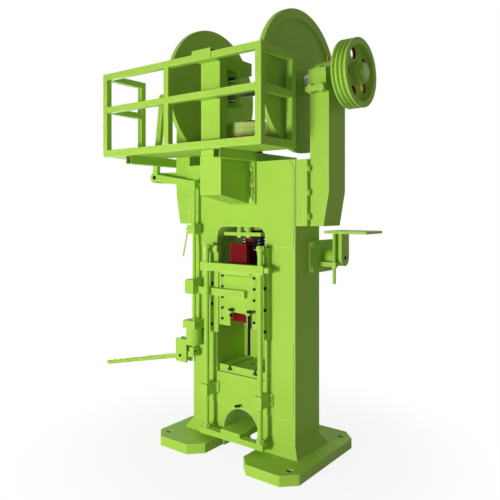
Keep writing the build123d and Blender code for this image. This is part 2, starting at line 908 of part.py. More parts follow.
# Bearing bolts: through bolts with nuts below the base, and cap bolts
with BuildPart() as bearing_bolts:
    base_top = arm_top + bearing_base_height
    nut_height = bearing_bolt_size * head_height_share
    add(hex_bolts(bearing_bolt_places(base_top), bearing_bolt_size, bearing_base_height))
    with BuildSketch(*bearing_bolt_places(arm_top)):
        RegularPolygon(bearing_bolt_size * head_width_share / 2, 6)
    extrude(amount=-nut_height)
    with BuildSketch(*cap_bolt_places(shaft_height + cap_shoulder)):
        RegularPolygon(bearing_bolt_size * head_width_share / 2, 6)
    extrude(amount=nut_height)
bearing_bolts.part.label = "bearing_bolts"
export_step(bearing_bolts.part, "parts/bearing_bolts.step")

# Oil cups on the bearing caps
with BuildPart() as oil_cups:
    for side, sign in sides:
        with BuildSketch(Plane.XY.offset(shaft_height + cap_radius)):
            with Locations((sign * bearing_x, 0)):
                Circle(oil_cup_radius / 2)
        extrude(amount=oil_cup_height / 2)
        with BuildSketch(Plane.XY.offset(shaft_height + cap_radius + oil_cup_height / 2)):
            with Locations((sign * bearing_x, 0)):
                Circle(oil_cup_radius)
        extrude(amount=oil_cup_height / 2)
oil_cups.part.label = "oil_cups"
export_step(oil_cups.part, "parts/oil_cups.step")

# Front bracket: a box that leans out from the crown, with a bolted flange
with BuildPart() as front_bracket:
    with BuildSketch(Plane.YZ):
        with BuildLine():
            Polyline(
                (-front_panel, bracket_rear_bottom),
                (-bracket_front, bracket_front_bottom),
                (-bracket_front, bracket_top),
                (-front_panel, bracket_top),
                close=True,
            )
        make_face()
    extrude(amount=bracket_width / 2, both=True)
    with BuildSketch(Plane.XZ.offset(front_panel)):
        with Locations((0, (bracket_rear_bottom + crown_top) / 2)):
            Rectangle(bracket_flange_width, crown_top - bracket_rear_bottom)
    extrude(amount=bracket_flange)
    with BuildSketch(*bracket_bolt_places(front_panel + bracket_flange)):
        Circle(bracket_bolt_size / 2 + bolt_clearance)
    extrude(amount=-bracket_flange, mode=Mode.SUBTRACT)
front_bracket.part.label = "front_bracket"
export_step(front_bracket.part, "parts/front_bracket.step")

# Post and overarm, with a clip over the guard's top rail
with BuildPart() as front_post:
    with BuildSketch(Plane.XY.offset(bracket_top)):
        with Locations((0, -bracket_front)):
            Rectangle(post_width, post_depth, align=(Align.CENTER, Align.MIN))
    extrude(amount=post_top - bracket_top)
    with BuildSketch(Plane.XZ.offset(overarm_end)):
        with Locations((0, post_top)):
            Rectangle(overarm_width, overarm_height, align=(Align.CENTER, Align.MAX))
    extrude(amount=bracket_front - post_depth - overarm_end)
    with BuildSketch(Plane.YZ):
        with Locations((-cage_front - clip_thickness, post_top + clip_thickness)):
            Rectangle(cage_front + clip_thickness - bracket_front + post_depth, clip_thickness,
                      align=(Align.MIN, Align.MAX))
            Rectangle(clip_thickness, clip_drop, align=(Align.MIN, Align.MAX))
    extrude(amount=post_width / 2, both=True)
front_post.part.label = "front_post"
export_step(front_post.part, "parts/front_post.step")

# Brake hanger: a plate under the overarm, two rods and a pad above the flywheel
with BuildPart() as brake_hanger:
    with BuildSketch(Plane.XY.offset(brake_plate_bottom)):
        with Locations((0, -brake_y)):
            Rectangle(brake_plate_width, brake_plate_depth)
    extrude(amount=brake_plate_height)
    with BuildSketch(Plane.XY.offset(brake_plate_bottom)):
        with Locations((-brake_rod_spacing / 2, -brake_y), (brake_rod_spacing / 2, -brake_y)):
            Circle(brake_rod_radius)
    extrude(amount=brake_pad_top - brake_plate_bottom)
    with BuildSketch(Plane.XY.offset(brake_pad_top)):
        with Locations((0, -brake_y)):
            Rectangle(brake_plate_width, brake_plate_depth)
    extrude(amount=-brake_pad_height)
brake_hanger.part.label = "brake_hanger"
export_step(brake_hanger.part, "parts/brake_hanger.step")

# Guard: a front frame held off the post by three blocks, and two end frames, all of square bar
rail_bottoms = (cage_bottom, cage_mid_height - bar_width / 2, cage_top - bar_width)
with BuildPart() as guard_front:
    with BuildSketch(Plane.XZ.offset(cage_inner)):
        for x in (-cage_left, -cage_mid_post - bar_width / 2, cage_right - bar_width):
            with Locations((x, cage_bottom)):
                Rectangle(bar_width, cage_top - cage_bottom, align=(Align.MIN, Align.MIN))
        for z in rail_bottoms:
            with Locations((-cage_left, z)):
                Rectangle(cage_left + cage_right, bar_width, align=(Align.MIN, Align.MIN))
    extrude(amount=bar_width)
    with BuildSketch(Plane.XZ.offset(bracket_front)):
        for z in rail_bottoms:
            with Locations((0, z)):
                Rectangle(post_width, bar_width, align=(Align.CENTER, Align.MIN))
    extrude(amount=cage_inner - bracket_front)
guard_front.part.label = "guard_front"
export_step(guard_front.part, "parts/guard_front.step")

for side, start in (("left", -cage_left), ("right", cage_right - bar_width)):
    with BuildPart() as guard_end:
        with BuildSketch(Plane.YZ.offset(start)):
            with Locations((-cage_rear, cage_bottom)):
                Rectangle(bar_width, cage_top - cage_bottom, align=(Align.MAX, Align.MIN))
            for z in rail_bottoms:
                with Locations((-cage_inner, z)):
                    Rectangle(cage_inner - cage_rear, bar_width, align=(Align.MIN, Align.MIN))
        extrude(amount=bar_width)
    guard_end.part.label = f"guard_{side}_end"
    export_step(guard_end.part, f"parts/guard_{side}_end.step")

# Platform floor with a cut-out for the post
with BuildPart() as platform_floor:
    with BuildSketch(Plane.XY.offset(floor_bottom)):
        with Locations((-cage_left, -cage_front)):
            Rectangle(cage_left + cage_right, cage_front - floor_rear, align=(Align.MIN, Align.MIN))
        with Locations((0, -bracket_front + post_depth / 2)):
            Rectangle(post_width + 2 * loose_gap, post_depth + 2 * loose_gap, mode=Mode.SUBTRACT)
    extrude(amount=floor_thickness)
platform_floor.part.label = "platform_floor"
export_step(platform_floor.part, "parts/platform_floor.step")

# Platform beams: open box tubes, one against the left arm, one across the crown
with BuildPart() as platform_beams:
    for x, end in ((-arm_outer - beam_width / 2, arm_depth / 2 + left_beam_rear),
                   (right_beam_x, half_depth + right_beam_rear)):
        with BuildSketch(Plane.XZ.offset(cage_front)):
            with Locations((x, crown_top + beam_height / 2)):
                Rectangle(beam_width, beam_height)
                Rectangle(beam_width - 2 * beam_wall, beam_height - 2 * beam_wall, mode=Mode.SUBTRACT)
        extrude(amount=-cage_front - end)
platform_beams.part.label = "platform_beams"
export_step(platform_beams.part, "parts/platform_beams.step")

# Ram body: slides between the columns, with a pocket for the screw and a shank hole
with BuildPart() as ram_body:
    with BuildSketch(Plane.XY.offset(ram_bottom)):
        Rectangle(opening_width - 2 * way_gap, body_depth - 2 * loose_gap)
    extrude(amount=ram_top - ram_bottom)
    with BuildSketch(Plane.XY.offset(ram_top)):
        Circle(thrust_radius + way_gap)
    extrude(amount=thrust_bottom - running_gap - ram_top, mode=Mode.SUBTRACT)
    with BuildSketch(Plane.XY.offset(ram_top)):
        Circle(screw_radius + loose_gap)
    extrude(amount=screw_foot - loose_gap - ram_top, mode=Mode.SUBTRACT)
    with BuildSketch(Plane.XY.offset(ram_bottom)):
        Circle(shank_radius)
    extrude(amount=shank_depth, mode=Mode.SUBTRACT)
ram_body.part.label = "ram_body"
export_step(ram_body.part, "parts/ram_body.step")

# Ram front plate: slides between the front gibs, notched at the bottom
with BuildPart() as ram_front_plate:
    with BuildSketch(Plane.XZ.offset(plate_front - plate_thickness)):
        with Locations((0, plate_bottom)):
            Rectangle(plate_width, plate_top - plate_bottom, align=(Align.CENTER, Align.MIN))
            Rectangle(notch_width, notch_top - plate_bottom, align=(Align.CENTER, Align.MIN),
                      mode=Mode.SUBTRACT)
    extrude(amount=plate_thickness)
    with BuildSketch(Plane.XY.offset(notch_top)):
        with Locations((left_clamp_x, -plate_front), (right_clamp_x, -plate_front)):
            Rectangle(clamp_lug_width, clamp_lug_depth, align=(Align.CENTER, Align.MAX))
        with Locations((left_clamp_x, -plate_front - clamp_lug_depth / 2),
                       (right_clamp_x, -plate_front - clamp_lug_depth / 2)):
            Circle(clamp_bolt_radius + bolt_clearance, mode=Mode.SUBTRACT)
    extrude(amount=clamp_lug_height)
    with BuildSketch(*plate_bolt_places()):
        Circle(plate_bolt_size / 2 + bolt_clearance)
    extrude(amount=-plate_thickness, mode=Mode.SUBTRACT)
ram_front_plate.part.label = "ram_front_plate"
export_step(ram_front_plate.part, "parts/ram_front_plate.step")

# Red crest that stands on the ram front plate behind the lift bar
with BuildPart() as ram_crest:
    with BuildSketch(Plane.XZ.offset(plate_front - plate_thickness)):
        with Locations((0, plate_top)):
            Rectangle(crest_width, crest_height, align=(Align.CENTER, Align.MIN))
    extrude(amount=plate_thickness)
ram_crest.part.label = "ram_crest"
export_step(ram_crest.part, "parts/ram_crest.step")

# Screws of the ram front plate
with BuildPart() as ram_plate_bolts:
    add(hex_bolts(plate_bolt_places(), plate_bolt_size, plate_thickness))
ram_plate_bolts.part.label = "ram_plate_bolts"
export_step(ram_plate_bolts.part, "parts/ram_plate_bolts.step")

# Retainer ring that keeps the screw's thrust collar in the ram
with BuildPart() as screw_retainer:
    with BuildSketch(Plane.XY.offset(ram_top)):
        Circle(retainer_radius)
        Circle(screw_radius + loose_gap, mode=Mode.SUBTRACT)
    extrude(amount=retainer_height)
screw_retainer.part.label = "screw_retainer"
export_step(screw_retainer.part, "parts/screw_retainer.step")

# Lift bar: rides on the ram and raises the ejector rods at the top of the stroke
with BuildPart() as lift_bar:
    with BuildSketch(Plane.XY.offset(lift_bar_bottom)):
        with Locations((0, -ejector_y)):
            Rectangle(lift_bar_width, lift_bar_depth)
        with Locations((-ejector_x, -ejector_y), (ejector_x, -ejector_y)):
            Circle(ejector_rod_radius + loose_gap, mode=Mode.SUBTRACT)
    extrude(amount=lift_bar_height)
    with BuildSketch(Plane.XZ.offset(plate_front)):
        with Locations((0, plate_top)):
            Rectangle(lift_carrier_width, lift_carrier_height, align=(Align.CENTER, Align.MAX))
    extrude(amount=ejector_y - lift_bar_depth / 2 - plate_front)
    with BuildSketch(Plane.YZ.offset(lift_bar_width / 2)):
        with Locations((-ejector_y, lift_bar_bottom + lift_bar_height / 2)):
            Rectangle(lift_stop_size, lift_stop_size)
    extrude(amount=lift_stop_length)
lift_bar.part.label = "lift_bar"
export_step(lift_bar.part, "parts/lift_bar.step")

# Trip arm: a bar on the ram that ends in a block around the operating rod
with BuildPart() as trip_arm:
    with BuildSketch(Plane.XZ.offset(trip_back)):
        with Locations((trip_right_end, trip_bottom)):
            Rectangle(trip_right_end - rod_x, trip_height, align=(Align.MAX, Align.MIN))
    extrude(amount=trip_thickness)
    with BuildSketch(Plane.XZ.offset(plate_front)):
        with Locations((0, trip_bottom)):
            Rectangle(2 * trip_right_end, trip_height, align=(Align.CENTER, Align.MIN))
    extrude(amount=trip_back - plate_front)
    with BuildSketch(Plane.XY.offset(trip_bottom)):
        with Locations((rod_x, -trip_back)):
            Rectangle(trip_block_size, trip_block_size, align=(Align.CENTER, Align.MAX))
    extrude(amount=trip_height + trip_block_rise)
    with BuildSketch(Plane.YZ.offset(rod_x - trip_block_size / 2)):
        with Locations((rod_y, trip_bottom + trip_height)):
            Circle(trip_knob_radius)
    extrude(amount=-trip_knob_length)
    with BuildSketch(Plane.XY.offset(trip_bottom)):
        with Locations((rod_x, rod_y)):
            Circle(rod_radius + loose_gap)
    extrude(amount=trip_height + trip_block_rise, mode=Mode.SUBTRACT)
trip_arm.part.label = "trip_arm"
export_step(trip_arm.part, "parts/trip_arm.step")

# Die clamp bolts that hang in the lugs of the ram front plate
with BuildPart() as die_clamp_bolts:
    lug_top = notch_top + clamp_lug_height
    for x, drop in ((left_clamp_x, left_clamp_drop), (right_clamp_x, right_clamp_drop)):
        with BuildSketch(Plane.XY.offset(lug_top)):
            with Locations((x, -plate_front - clamp_lug_depth / 2)):
                RegularPolygon(clamp_bolt_head, 6)
        extrude(amount=clamp_bolt_head_height)
        with BuildSketch(Plane.XY.offset(lug_top)):
            with Locations((x, -plate_front - clamp_lug_depth / 2)):
                Circle(clamp_bolt_radius)
        extrude(amount=-drop)
die_clamp_bolts.part.label = "die_clamp_bolts"
export_step(die_clamp_bolts.part, "parts/die_clamp_bolts.step")

# Screw: thrust collar in the ram, long body through the nut, spindle for the flywheel
with BuildPart() as screw:
    with BuildSketch(Plane.XY.offset(screw_foot)):
        Circle(screw_radius)
    extrude(amount=spindle_bottom - screw_foot)
    with BuildSketch(Plane.XY.offset(thrust_bottom)):
        Circle(thrust_radius)
    extrude(amount=thrust_height)
    with BuildSketch(Plane.XY.offset(spindle_bottom)):
        Circle(spindle_radius)
    extrude(amount=spindle_top - spindle_bottom)
screw.part.label = "screw"
export_step(screw.part, "parts/screw.step")

# Flywheel: hub, web and heavy rim
with BuildPart() as flywheel:
    with BuildSketch(Plane.XZ):
        with BuildLine():
            Polyline(
                (spindle_radius, spindle_bottom),
                (hub_radius, spindle_bottom),
                (hub_radius, web_bottom),
                (rim_radius - rim_width, web_bottom),
                (rim_radius - rim_width, rim_bottom),
                (rim_radius, rim_bottom),
                (rim_radius, rim_top),
                (rim_radius - rim_width, rim_top),
                (rim_radius - rim_width, web_bottom + web_thickness),
                (hub_radius, web_bottom + web_thickness),
                (hub_radius, rim_top),
                (spindle_radius, rim_top),
                close=True,
            )
        make_face()
    revolve(axis=Axis.Z)
flywheel.part.label = "flywheel"
export_step(flywheel.part, "parts/flywheel.step")

# Leather lining round the flywheel's rim, in three bands
with BuildPart() as flywheel_lining:
    band = (rim_top - rim_bottom) / 3
    with BuildSketch(Plane.XY.offset(rim_bottom)):
        Circle(lining_radius)
        Circle(rim_radius, mode=Mode.SUBTRACT)
    extrude(amount=rim_top - rim_bottom)
    for z in (rim_bottom + band, rim_bottom + 2 * band):
        with BuildSketch(Plane.XY.offset(z - lining_band_gap / 2)):
            Circle(lining_radius)
            Circle(lining_radius - lining_band_depth, mode=Mode.SUBTRACT)
        extrude(amount=lining_band_gap, mode=Mode.SUBTRACT)
flywheel_lining.part.label = "flywheel_lining"
export_step(flywheel_lining.part, "parts/flywheel_lining.step")

# Nut that holds the flywheel on the spindle
with BuildPart() as flywheel_nut:
    with BuildSketch(Plane.XY.offset(rim_top)):
        RegularPolygon(flywheel_nut_radius, 6)
        Circle(spindle_radius, mode=Mode.SUBTRACT)
    extrude(amount=flywheel_nut_height)
flywheel_nut.part.label = "flywheel_nut"
export_step(flywheel_nut.part, "parts/flywheel_nut.step")

# Drive shaft
with BuildPart() as drive_shaft:
    with BuildSketch(Plane.YZ.offset(-shaft_left_end)):
        with Locations((0, shaft_height)):
            Circle(shaft_radius)
    extrude(amount=shaft_left_end + shaft_right_end)
    with BuildSketch(Plane.YZ.offset(collar_x + collar_length / 2 + loose_gap / 2)):
        with Locations((0, shaft_height)):
            Circle(shoulder_radius)
    extrude(amount=shoulder_length)
drive_shaft.part.label = "drive_shaft"
export_step(drive_shaft.part, "parts/drive_shaft.step")

# Friction discs: flat inner face, thick rim, dished outside, long hub
for side, sign in sides:
    with BuildPart() as disc:
        with BuildSketch(Plane.XZ):
            with BuildLine():
                Polyline(
                    (sign * disc_inner_face, shaft_height + shaft_radius),
                    (sign * disc_inner_face, shaft_height + disc_radius),
                    (sign * disc_back, shaft_height + disc_radius),
                    (sign * disc_back, shaft_height + disc_radius - disc_rim_width),
                    (sign * (disc_inner_face + disc_web), shaft_height + disc_radius - disc_rim_width),
                    (sign * (disc_inner_face + disc_web), shaft_height + disc_hub_radius),
                    (sign * (disc_inner_face + disc_hub_length), shaft_height + disc_hub_radius),
                    (sign * (disc_inner_face + disc_hub_length), shaft_height + shaft_radius),
                    close=True,
                )
            make_face()
        revolve(axis=shaft_axis)
    disc.part.label = f"{side}_disc"
    export_step(disc.part, f"parts/{side}_disc.step")

# Pulley for V-belts, with round lightening holes
groove_points = []
for index in range(groove_count):
    groove_x = pulley_inner_face + groove_edge + index * groove_pitch
    groove_points += [
        (groove_x - groove_top / 2, shaft_height + pulley_radius),
        (groove_x - groove_bottom / 2, shaft_height + pulley_radius - groove_depth),
        (groove_x + groove_bottom / 2, shaft_height + pulley_radius - groove_depth),
        (groove_x + groove_top / 2, shaft_height + pulley_radius),
    ]
with BuildPart() as v_pulley:
    rim_inner = shaft_height + pulley_radius - pulley_rim
    hub_top = shaft_height + pulley_hub_radius
    with BuildSketch(Plane.XZ):
        with BuildLine():
            Polyline(
                (pulley_inner_face, shaft_height + pulley_radius),
                *groove_points,
                (pulley_outer_face, shaft_height + pulley_radius),
                (pulley_outer_face, rim_inner),
                (pulley_middle + pulley_web / 2, rim_inner),
                (pulley_middle + pulley_web / 2, hub_top),
                (pulley_outer_face, hub_top),
                (pulley_outer_face, shaft_height + shaft_radius),
                (pulley_inner_face, shaft_height + shaft_radius),
                (pulley_inner_face, hub_top),
                (pulley_middle - pulley_web / 2, hub_top),
                (pulley_middle - pulley_web / 2, rim_inner),
                (pulley_inner_face, rim_inner),
                close=True,
            )
        make_face()
    revolve(axis=shaft_axis)
    with BuildSketch(Plane.YZ.offset(pulley_middle - pulley_web / 2 - overrun)):
        with Locations((0, shaft_height)):
            with PolarLocations(pulley_hole_circle, pulley_hole_count, start_angle=180):
                Circle((pulley_radius - pulley_rim - pulley_hub_radius) / 2 - pulley_hole_wall)
    extrude(amount=pulley_web + 2 * overrun, mode=Mode.SUBTRACT)
v_pulley.part.label = "v_pulley"
export_step(v_pulley.part, "parts/v_pulley.step")

# Nuts at the shaft's ends: one behind the shift collar, one on the pulley
with BuildPart() as shaft_nuts:
    collar_outer_face = collar_x - collar_length / 2
    for start, direction in ((collar_outer_face - loose_gap / 2, -1), (pulley_outer_face, 1)):
        with BuildSketch(Plane.YZ.offset(start)):
            with Locations((0, shaft_height)):
                RegularPolygon(shaft_nut_radius, 6)
                Circle(shaft_radius, mode=Mode.SUBTRACT)
        extrude(amount=direction * shaft_nut_length)
shaft_nuts.part.label = "shaft_nuts"
export_step(shaft_nuts.part, "parts/shaft_nuts.step")

# Shift collar: stands still on the turning shaft and moves it sideways
with BuildPart() as shift_collar:
    with BuildSketch(Plane.YZ.offset(collar_x - collar_length / 2)):
        with Locations((0, shaft_height)):
            Circle(collar_radius)
            Circle(shaft_radius + running_gap, mode=Mode.SUBTRACT)
    extrude(amount=collar_length)
    with BuildSketch(Plane.XZ.offset(collar_radius - collar_pin_depth)):
        with Locations((collar_x, shaft_height)):
            Circle(crank_pin_radius + way_gap)
    extrude(amount=collar_pin_depth + overrun, mode=Mode.SUBTRACT)
shift_collar.part.label = "shift_collar"
export_step(shift_collar.part, "parts/shift_collar.step")

# Bell crank: hub on the fulcrum pin, one arm up to the shift collar, one to the operating rod
crank_up_length = hypot(collar_x - crank_x, shaft_height - crank_z)
crank_out_length = hypot(rod_x - crank_x, rod_pin_z - crank_z)
with BuildPart() as bell_crank:
    for end_x, end_z, reach in (
        (collar_x, shaft_height, crank_up_length),
        (rod_x, rod_pin_z, crank_out_length),
    ):
        arm_plane = Plane(
            origin=(crank_x, -crank_front + crank_thickness, crank_z),
            x_dir=(end_x - crank_x, 0, end_z - crank_z),
            z_dir=(0, -1, 0),
        )
        with BuildSketch(arm_plane):
            with BuildLine():
                Polyline(
                    (0, -crank_arm_width / 2),
                    (reach, -crank_tip_radius * cos(radians(30))),
                    (reach, crank_tip_radius * cos(radians(30))),
                    (0, crank_arm_width / 2),
                    close=True,
                )
            make_face()
            with Locations((reach, 0)):
                Circle(crank_tip_radius)
            Circle(crank_hub_radius)
        extrude(amount=crank_thickness)
    with BuildSketch(Plane.XZ.offset(crank_middle)):
        with Locations((collar_x, shaft_height)):
            Circle(crank_pin_radius)
    extrude(amount=collar_radius - collar_pin_depth + way_gap - crank_middle)
    with BuildSketch(Plane.XZ.offset(crank_front - crank_thickness)):
        with Locations((crank_x, crank_z)):
            Circle(fulcrum_pin_radius + running_gap)
        with Locations((rod_x, rod_pin_z)):
            Circle(rod_block_pin_radius + way_gap)
    extrude(amount=crank_thickness, mode=Mode.SUBTRACT)
bell_crank.part.label = "bell_crank"
export_step(bell_crank.part, "parts/bell_crank.step")

# Fulcrum bracket: bolted to the left arm's outer face
with BuildPart() as fulcrum_bracket:
    with BuildSketch(Plane.YZ.offset(-arm_outer)):
        with Locations((-fulcrum_arm_front, crank_z)):
            Rectangle(fulcrum_arm_front + fulcrum_plate_rear, fulcrum_plate_height,
                      align=(Align.MIN, Align.CENTER))
    extrude(amount=-fulcrum_plate_thickness)
    with BuildSketch(Plane.XZ.offset(fulcrum_arm_rear)):
        with Locations((-arm_outer, crank_z)):
            Rectangle(-arm_outer - crank_x, fulcrum_arm_height, align=(Align.MAX, Align.CENTER))
        with Locations((crank_x, crank_z)):
            Circle(fulcrum_arm_height / 2)
    extrude(amount=fulcrum_arm_front - fulcrum_arm_rear)
    with BuildSketch(Plane.XZ.offset(fulcrum_arm_rear)):
        with Locations((crank_x, crank_z)):
            Circle(fulcrum_arm_height / 2)
    extrude(amount=crank_front - crank_thickness - loose_gap - fulcrum_arm_rear)
    with BuildSketch(Plane.XZ.offset(fulcrum_arm_rear)):
        with Locations((crank_x, crank_z)):
            Circle(fulcrum_pin_radius)
    extrude(amount=crank_front - fulcrum_arm_rear, mode=Mode.SUBTRACT)
fulcrum_bracket.part.label = "fulcrum_bracket"
export_step(fulcrum_bracket.part, "parts/fulcrum_bracket.step")

# Lever housing: round body on the left column, with a fork for the hand lever
fork_inner = lever_flat_thickness / 2 + cheek_gap
with BuildPart() as lever_housing:
    with BuildSketch(Plane.XY.offset(housing_bottom)):
        with Locations((rod_x, rod_y)):
            Circle(housing_radius)
    extrude(amount=housing_top - housing_bottom)
    with BuildSketch(Plane.XZ.offset(front_panel)):
        with Locations((rod_x, housing_plate_bottom)):
            Rectangle(housing_plate_width, lower_panel_top - housing_plate_bottom,
                      align=(Align.CENTER, Align.MIN))
    extrude(amount=housing_plate_thickness)
    for side, sign in sides:
        with BuildSketch(Plane.XZ.offset(-rod_y + sign * fork_inner)):
            with Locations((cheek_left, cheek_bottom)):
                Rectangle(lever_arm + cheek_reach - cheek_root, cheek_top - cheek_bottom,
                          align=(Align.MIN, Align.MIN))
        extrude(amount=sign * cheek_thickness)
    with BuildSketch(Plane.XY.offset(housing_bottom)):
        with Locations((rod_x, rod_y)):
            Circle(rod_radius + running_gap)
    extrude(amount=housing_top - housing_bottom, mode=Mode.SUBTRACT)
    with BuildSketch(Plane.XZ.offset(-rod_y)):
        with Locations((lever_pivot_x, lever_pivot_z)):
            Circle(lever_pin_radius)
    extrude(amount=fork_inner + cheek_thickness, both=True, mode=Mode.SUBTRACT)
lever_housing.part.label = "lever_housing"
export_step(lever_housing.part, "parts/lever_housing.step")

# Square cap on the lever housing
with BuildPart() as housing_cap:
    with BuildSketch(Plane.XY.offset(housing_top)):
        with Locations((rod_x, rod_y)):
            Rectangle(housing_cap_size, housing_cap_size)
            Circle(rod_radius + running_gap, mode=Mode.SUBTRACT)
    extrude(amount=housing_cap_height)
housing_cap.part.label = "housing_cap"
export_step(housing_cap.part, "parts/housing_cap.step")

# Pins of the hand lever, the bell crank and the motor plate
hinge_boss_end = half_body + bracket_plate_thickness + hinge_boss_length
hinge_lug_start = hinge_boss_end + loose_gap
hinge_lug_end = hinge_lug_start + hinge_lug_thickness
with BuildPart() as pivot_pins:
    with BuildSketch(Plane.XZ.offset(-rod_y)):
        with Locations((lever_pivot_x, lever_pivot_z)):
            Circle(lever_pin_radius)
    extrude(amount=fork_inner + cheek_thickness + way_gap, both=True)
    with BuildSketch(Plane.XZ.offset(fulcrum_arm_rear)):
        with Locations((crank_x, crank_z)):
            Circle(fulcrum_pin_radius)
    extrude(amount=crank_front + way_gap - fulcrum_arm_rear)
    with BuildSketch(Plane.YZ.offset(half_body)):
        with Locations((hinge_y, hinge_z)):
            Circle(hinge_pin_radius)
    extrude(amount=hinge_lug_end + way_gap - half_body)
pivot_pins.part.label = "pivot_pins"
export_step(pivot_pins.part, "parts/pivot_pins.step")

# Hand lever: flat end in the fork, round bar outside
lever_plane = Plane(origin=(lever_pivot_x, rod_y, lever_pivot_z), x_dir=lever_direction, z_dir=(0, -1, 0))
with BuildPart() as hand_lever:
    with BuildSketch(lever_plane):
        with Locations((-lever_flat_reach, 0)):
            Rectangle(lever_flat_reach + lever_short_arm, lever_flat_height, align=(Align.MIN, Align.CENTER))
        with Locations((lever_short_arm, 0)):
            Circle(lever_flat_height / 2)
            Circle(clevis_pin_radius + way_gap, mode=Mode.SUBTRACT)
        Circle(lever_pin_radius + running_gap, mode=Mode.SUBTRACT)
    extrude(amount=lever_flat_thickness / 2, both=True)
    grip_plane = Plane(
        origin=lever_plane.from_local_coords((-lever_flat_reach, 0, 0)),
        z_dir=(-lever_direction[0], 0, -lever_direction[2]),
    )
    with BuildSketch(grip_plane):
        Circle(lever_radius)
    extrude(amount=lever_length - lever_flat_reach)
    fillet(hand_lever.faces().sort_by(Axis.X)[0].edges(), lever_radius / 2)
hand_lever.part.label = "hand_lever"
export_step(hand_lever.part, "parts/hand_lever.step")

# Operating rod: clevis on the hand lever below, pin block on the bell crank above
clevis_inner = lever_flat_thickness / 2 + cheek_gap
clevis_bottom = lever_end_z - 2 * clevis_pin_radius
clevis_top = lever_end_z + lever_flat_height / 2 + clevis_gap + clevis_bridge
with BuildPart() as operating_rod:
    with BuildSketch(Plane.XY.offset(clevis_top)):
        with Locations((rod_x, rod_y)):
            Circle(rod_radius)
    extrude(amount=rod_top - clevis_top)
    with BuildSketch(Plane.XY.offset(clevis_top)):
        with Locations((rod_x, rod_y)):
            Rectangle(clevis_width, 2 * (clevis_inner + clevis_cheek))
    extrude(amount=-clevis_bridge)
    for side, sign in sides:
        with BuildSketch(Plane.XZ.offset(-rod_y + sign * clevis_inner)):
            with Locations((rod_x, clevis_bottom)):
                Rectangle(clevis_width, clevis_top - clevis_bottom, align=(Align.CENTER, Align.MIN))
        extrude(amount=sign * clevis_cheek)
    with BuildSketch(Plane.XZ.offset(-rod_y)):
        with Locations((rod_x, lever_end_z)):
            Circle(clevis_pin_radius)
    extrude(amount=clevis_inner + clevis_cheek, both=True)
    with BuildSketch(Plane.XY.offset(rod_top)):
        with Locations((rod_x, rod_y + rod_radius + loose_gap)):
            Rectangle(rod_block_width, rod_block_depth, align=(Align.CENTER, Align.MAX))
    extrude(amount=-rod_block_height)
    with BuildSketch(Plane.XZ.offset(-rod_y)):
        with Locations((rod_x, rod_pin_z)):
            Circle(rod_block_pin_radius)
    extrude(amount=rod_y + crank_front - crank_thickness)
operating_rod.part.label = "operating_rod"
export_step(operating_rod.part, "parts/operating_rod.step")

# Stop dog clamped on the operating rod
with BuildPart() as stop_dog:
    with BuildSketch(Plane.XY.offset(dog_bottom)):
        with Locations((rod_x, rod_y)):
            Rectangle(dog_width, dog_width)
            Circle(rod_radius, mode=Mode.SUBTRACT)
    extrude(amount=dog_height)
    with BuildSketch(Plane.YZ.offset(rod_x - dog_width / 2)):
        with Locations((rod_y, dog_bottom + dog_height / 2)):
            Circle(handle_screw_radius + running_gap)
    extrude(amount=handle_screw_in, mode=Mode.SUBTRACT)
stop_dog.part.label = "stop_dog"
export_step(stop_dog.part, "parts/stop_dog.step")

# Clamp handle: a screw in the dog's side with a long thin bar that hangs from it
with BuildPart() as clamp_handle:
    screw_middle = dog_bottom + dog_height / 2
    screw_inner = rod_x - dog_width / 2 + handle_screw_in - loose_gap
    with BuildSketch(Plane.YZ.offset(screw_inner)):
        with Locations((rod_y, screw_middle)):
            Circle(handle_screw_radius)
    extrude(amount=-handle_screw_length)
    handle_plane = Plane(
        origin=(screw_inner - handle_screw_length + handle_screw_radius, rod_y, screw_middle),
        z_dir=(-handle_lean, 0, -handle_drop),
    )
    with BuildSketch(handle_plane):
        Circle(handle_radius)
    extrude(amount=hypot(handle_drop, handle_lean))
clamp_handle.part.label = "clamp_handle"
export_step(clamp_handle.part, "parts/clamp_handle.step")

# Ejector: two rods with their nuts, joined below by a cross bar
with BuildPart() as ejector_rods:
    for side, sign in sides:
        with BuildSketch(Plane.XY.offset(cross_bar_bottom)):
            with Locations((sign * ejector_x, -ejector_y)):
                Circle(ejector_rod_radius)
        extrude(amount=ejector_rod_top - cross_bar_bottom)
        for z in (cross_bar_bottom + cross_bar_height, ejector_rod_top - ejector_nut_height):
            with BuildSketch(Plane.XY.offset(z)):
                with Locations((sign * ejector_x, -ejector_y)):
                    RegularPolygon(ejector_nut_radius, 6)
            extrude(amount=ejector_nut_height)
ejector_rods.part.label = "ejector_rods"
export_step(ejector_rods.part, "parts/ejector_rods.step")

# Cross bar with a block in the middle and a tongue into the arch
with BuildPart() as ejector_cross_bar:
    cross_front = ejector_y + cross_bar_depth / 2
    with BuildSketch(Plane.XY.offset(cross_bar_bottom)):
        with Locations((0, -ejector_y)):
            Rectangle(cross_bar_width, cross_bar_depth)
        with Locations((-ejector_x, -ejector_y), (ejector_x, -ejector_y)):
            Circle(ejector_rod_radius, mode=Mode.SUBTRACT)
    extrude(amount=cross_bar_height)
    with BuildSketch(Plane.XY.offset(cross_bar_bottom)):
        with Locations((0, -cross_front)):
            Rectangle(cross_block_width, cross_front - half_depth, align=(Align.CENTER, Align.MIN))
    extrude(amount=cross_block_height)
    with BuildSketch(Plane.XZ.offset(half_depth)):
        with Locations((0, cross_bar_bottom + cross_block_height)):
            Rectangle(tongue_width, tongue_height, align=(Align.CENTER, Align.MAX))
    extrude(amount=-half_depth - tongue_end)
ejector_cross_bar.part.label = "ejector_cross_bar"
export_step(ejector_cross_bar.part, "parts/ejector_cross_bar.step")

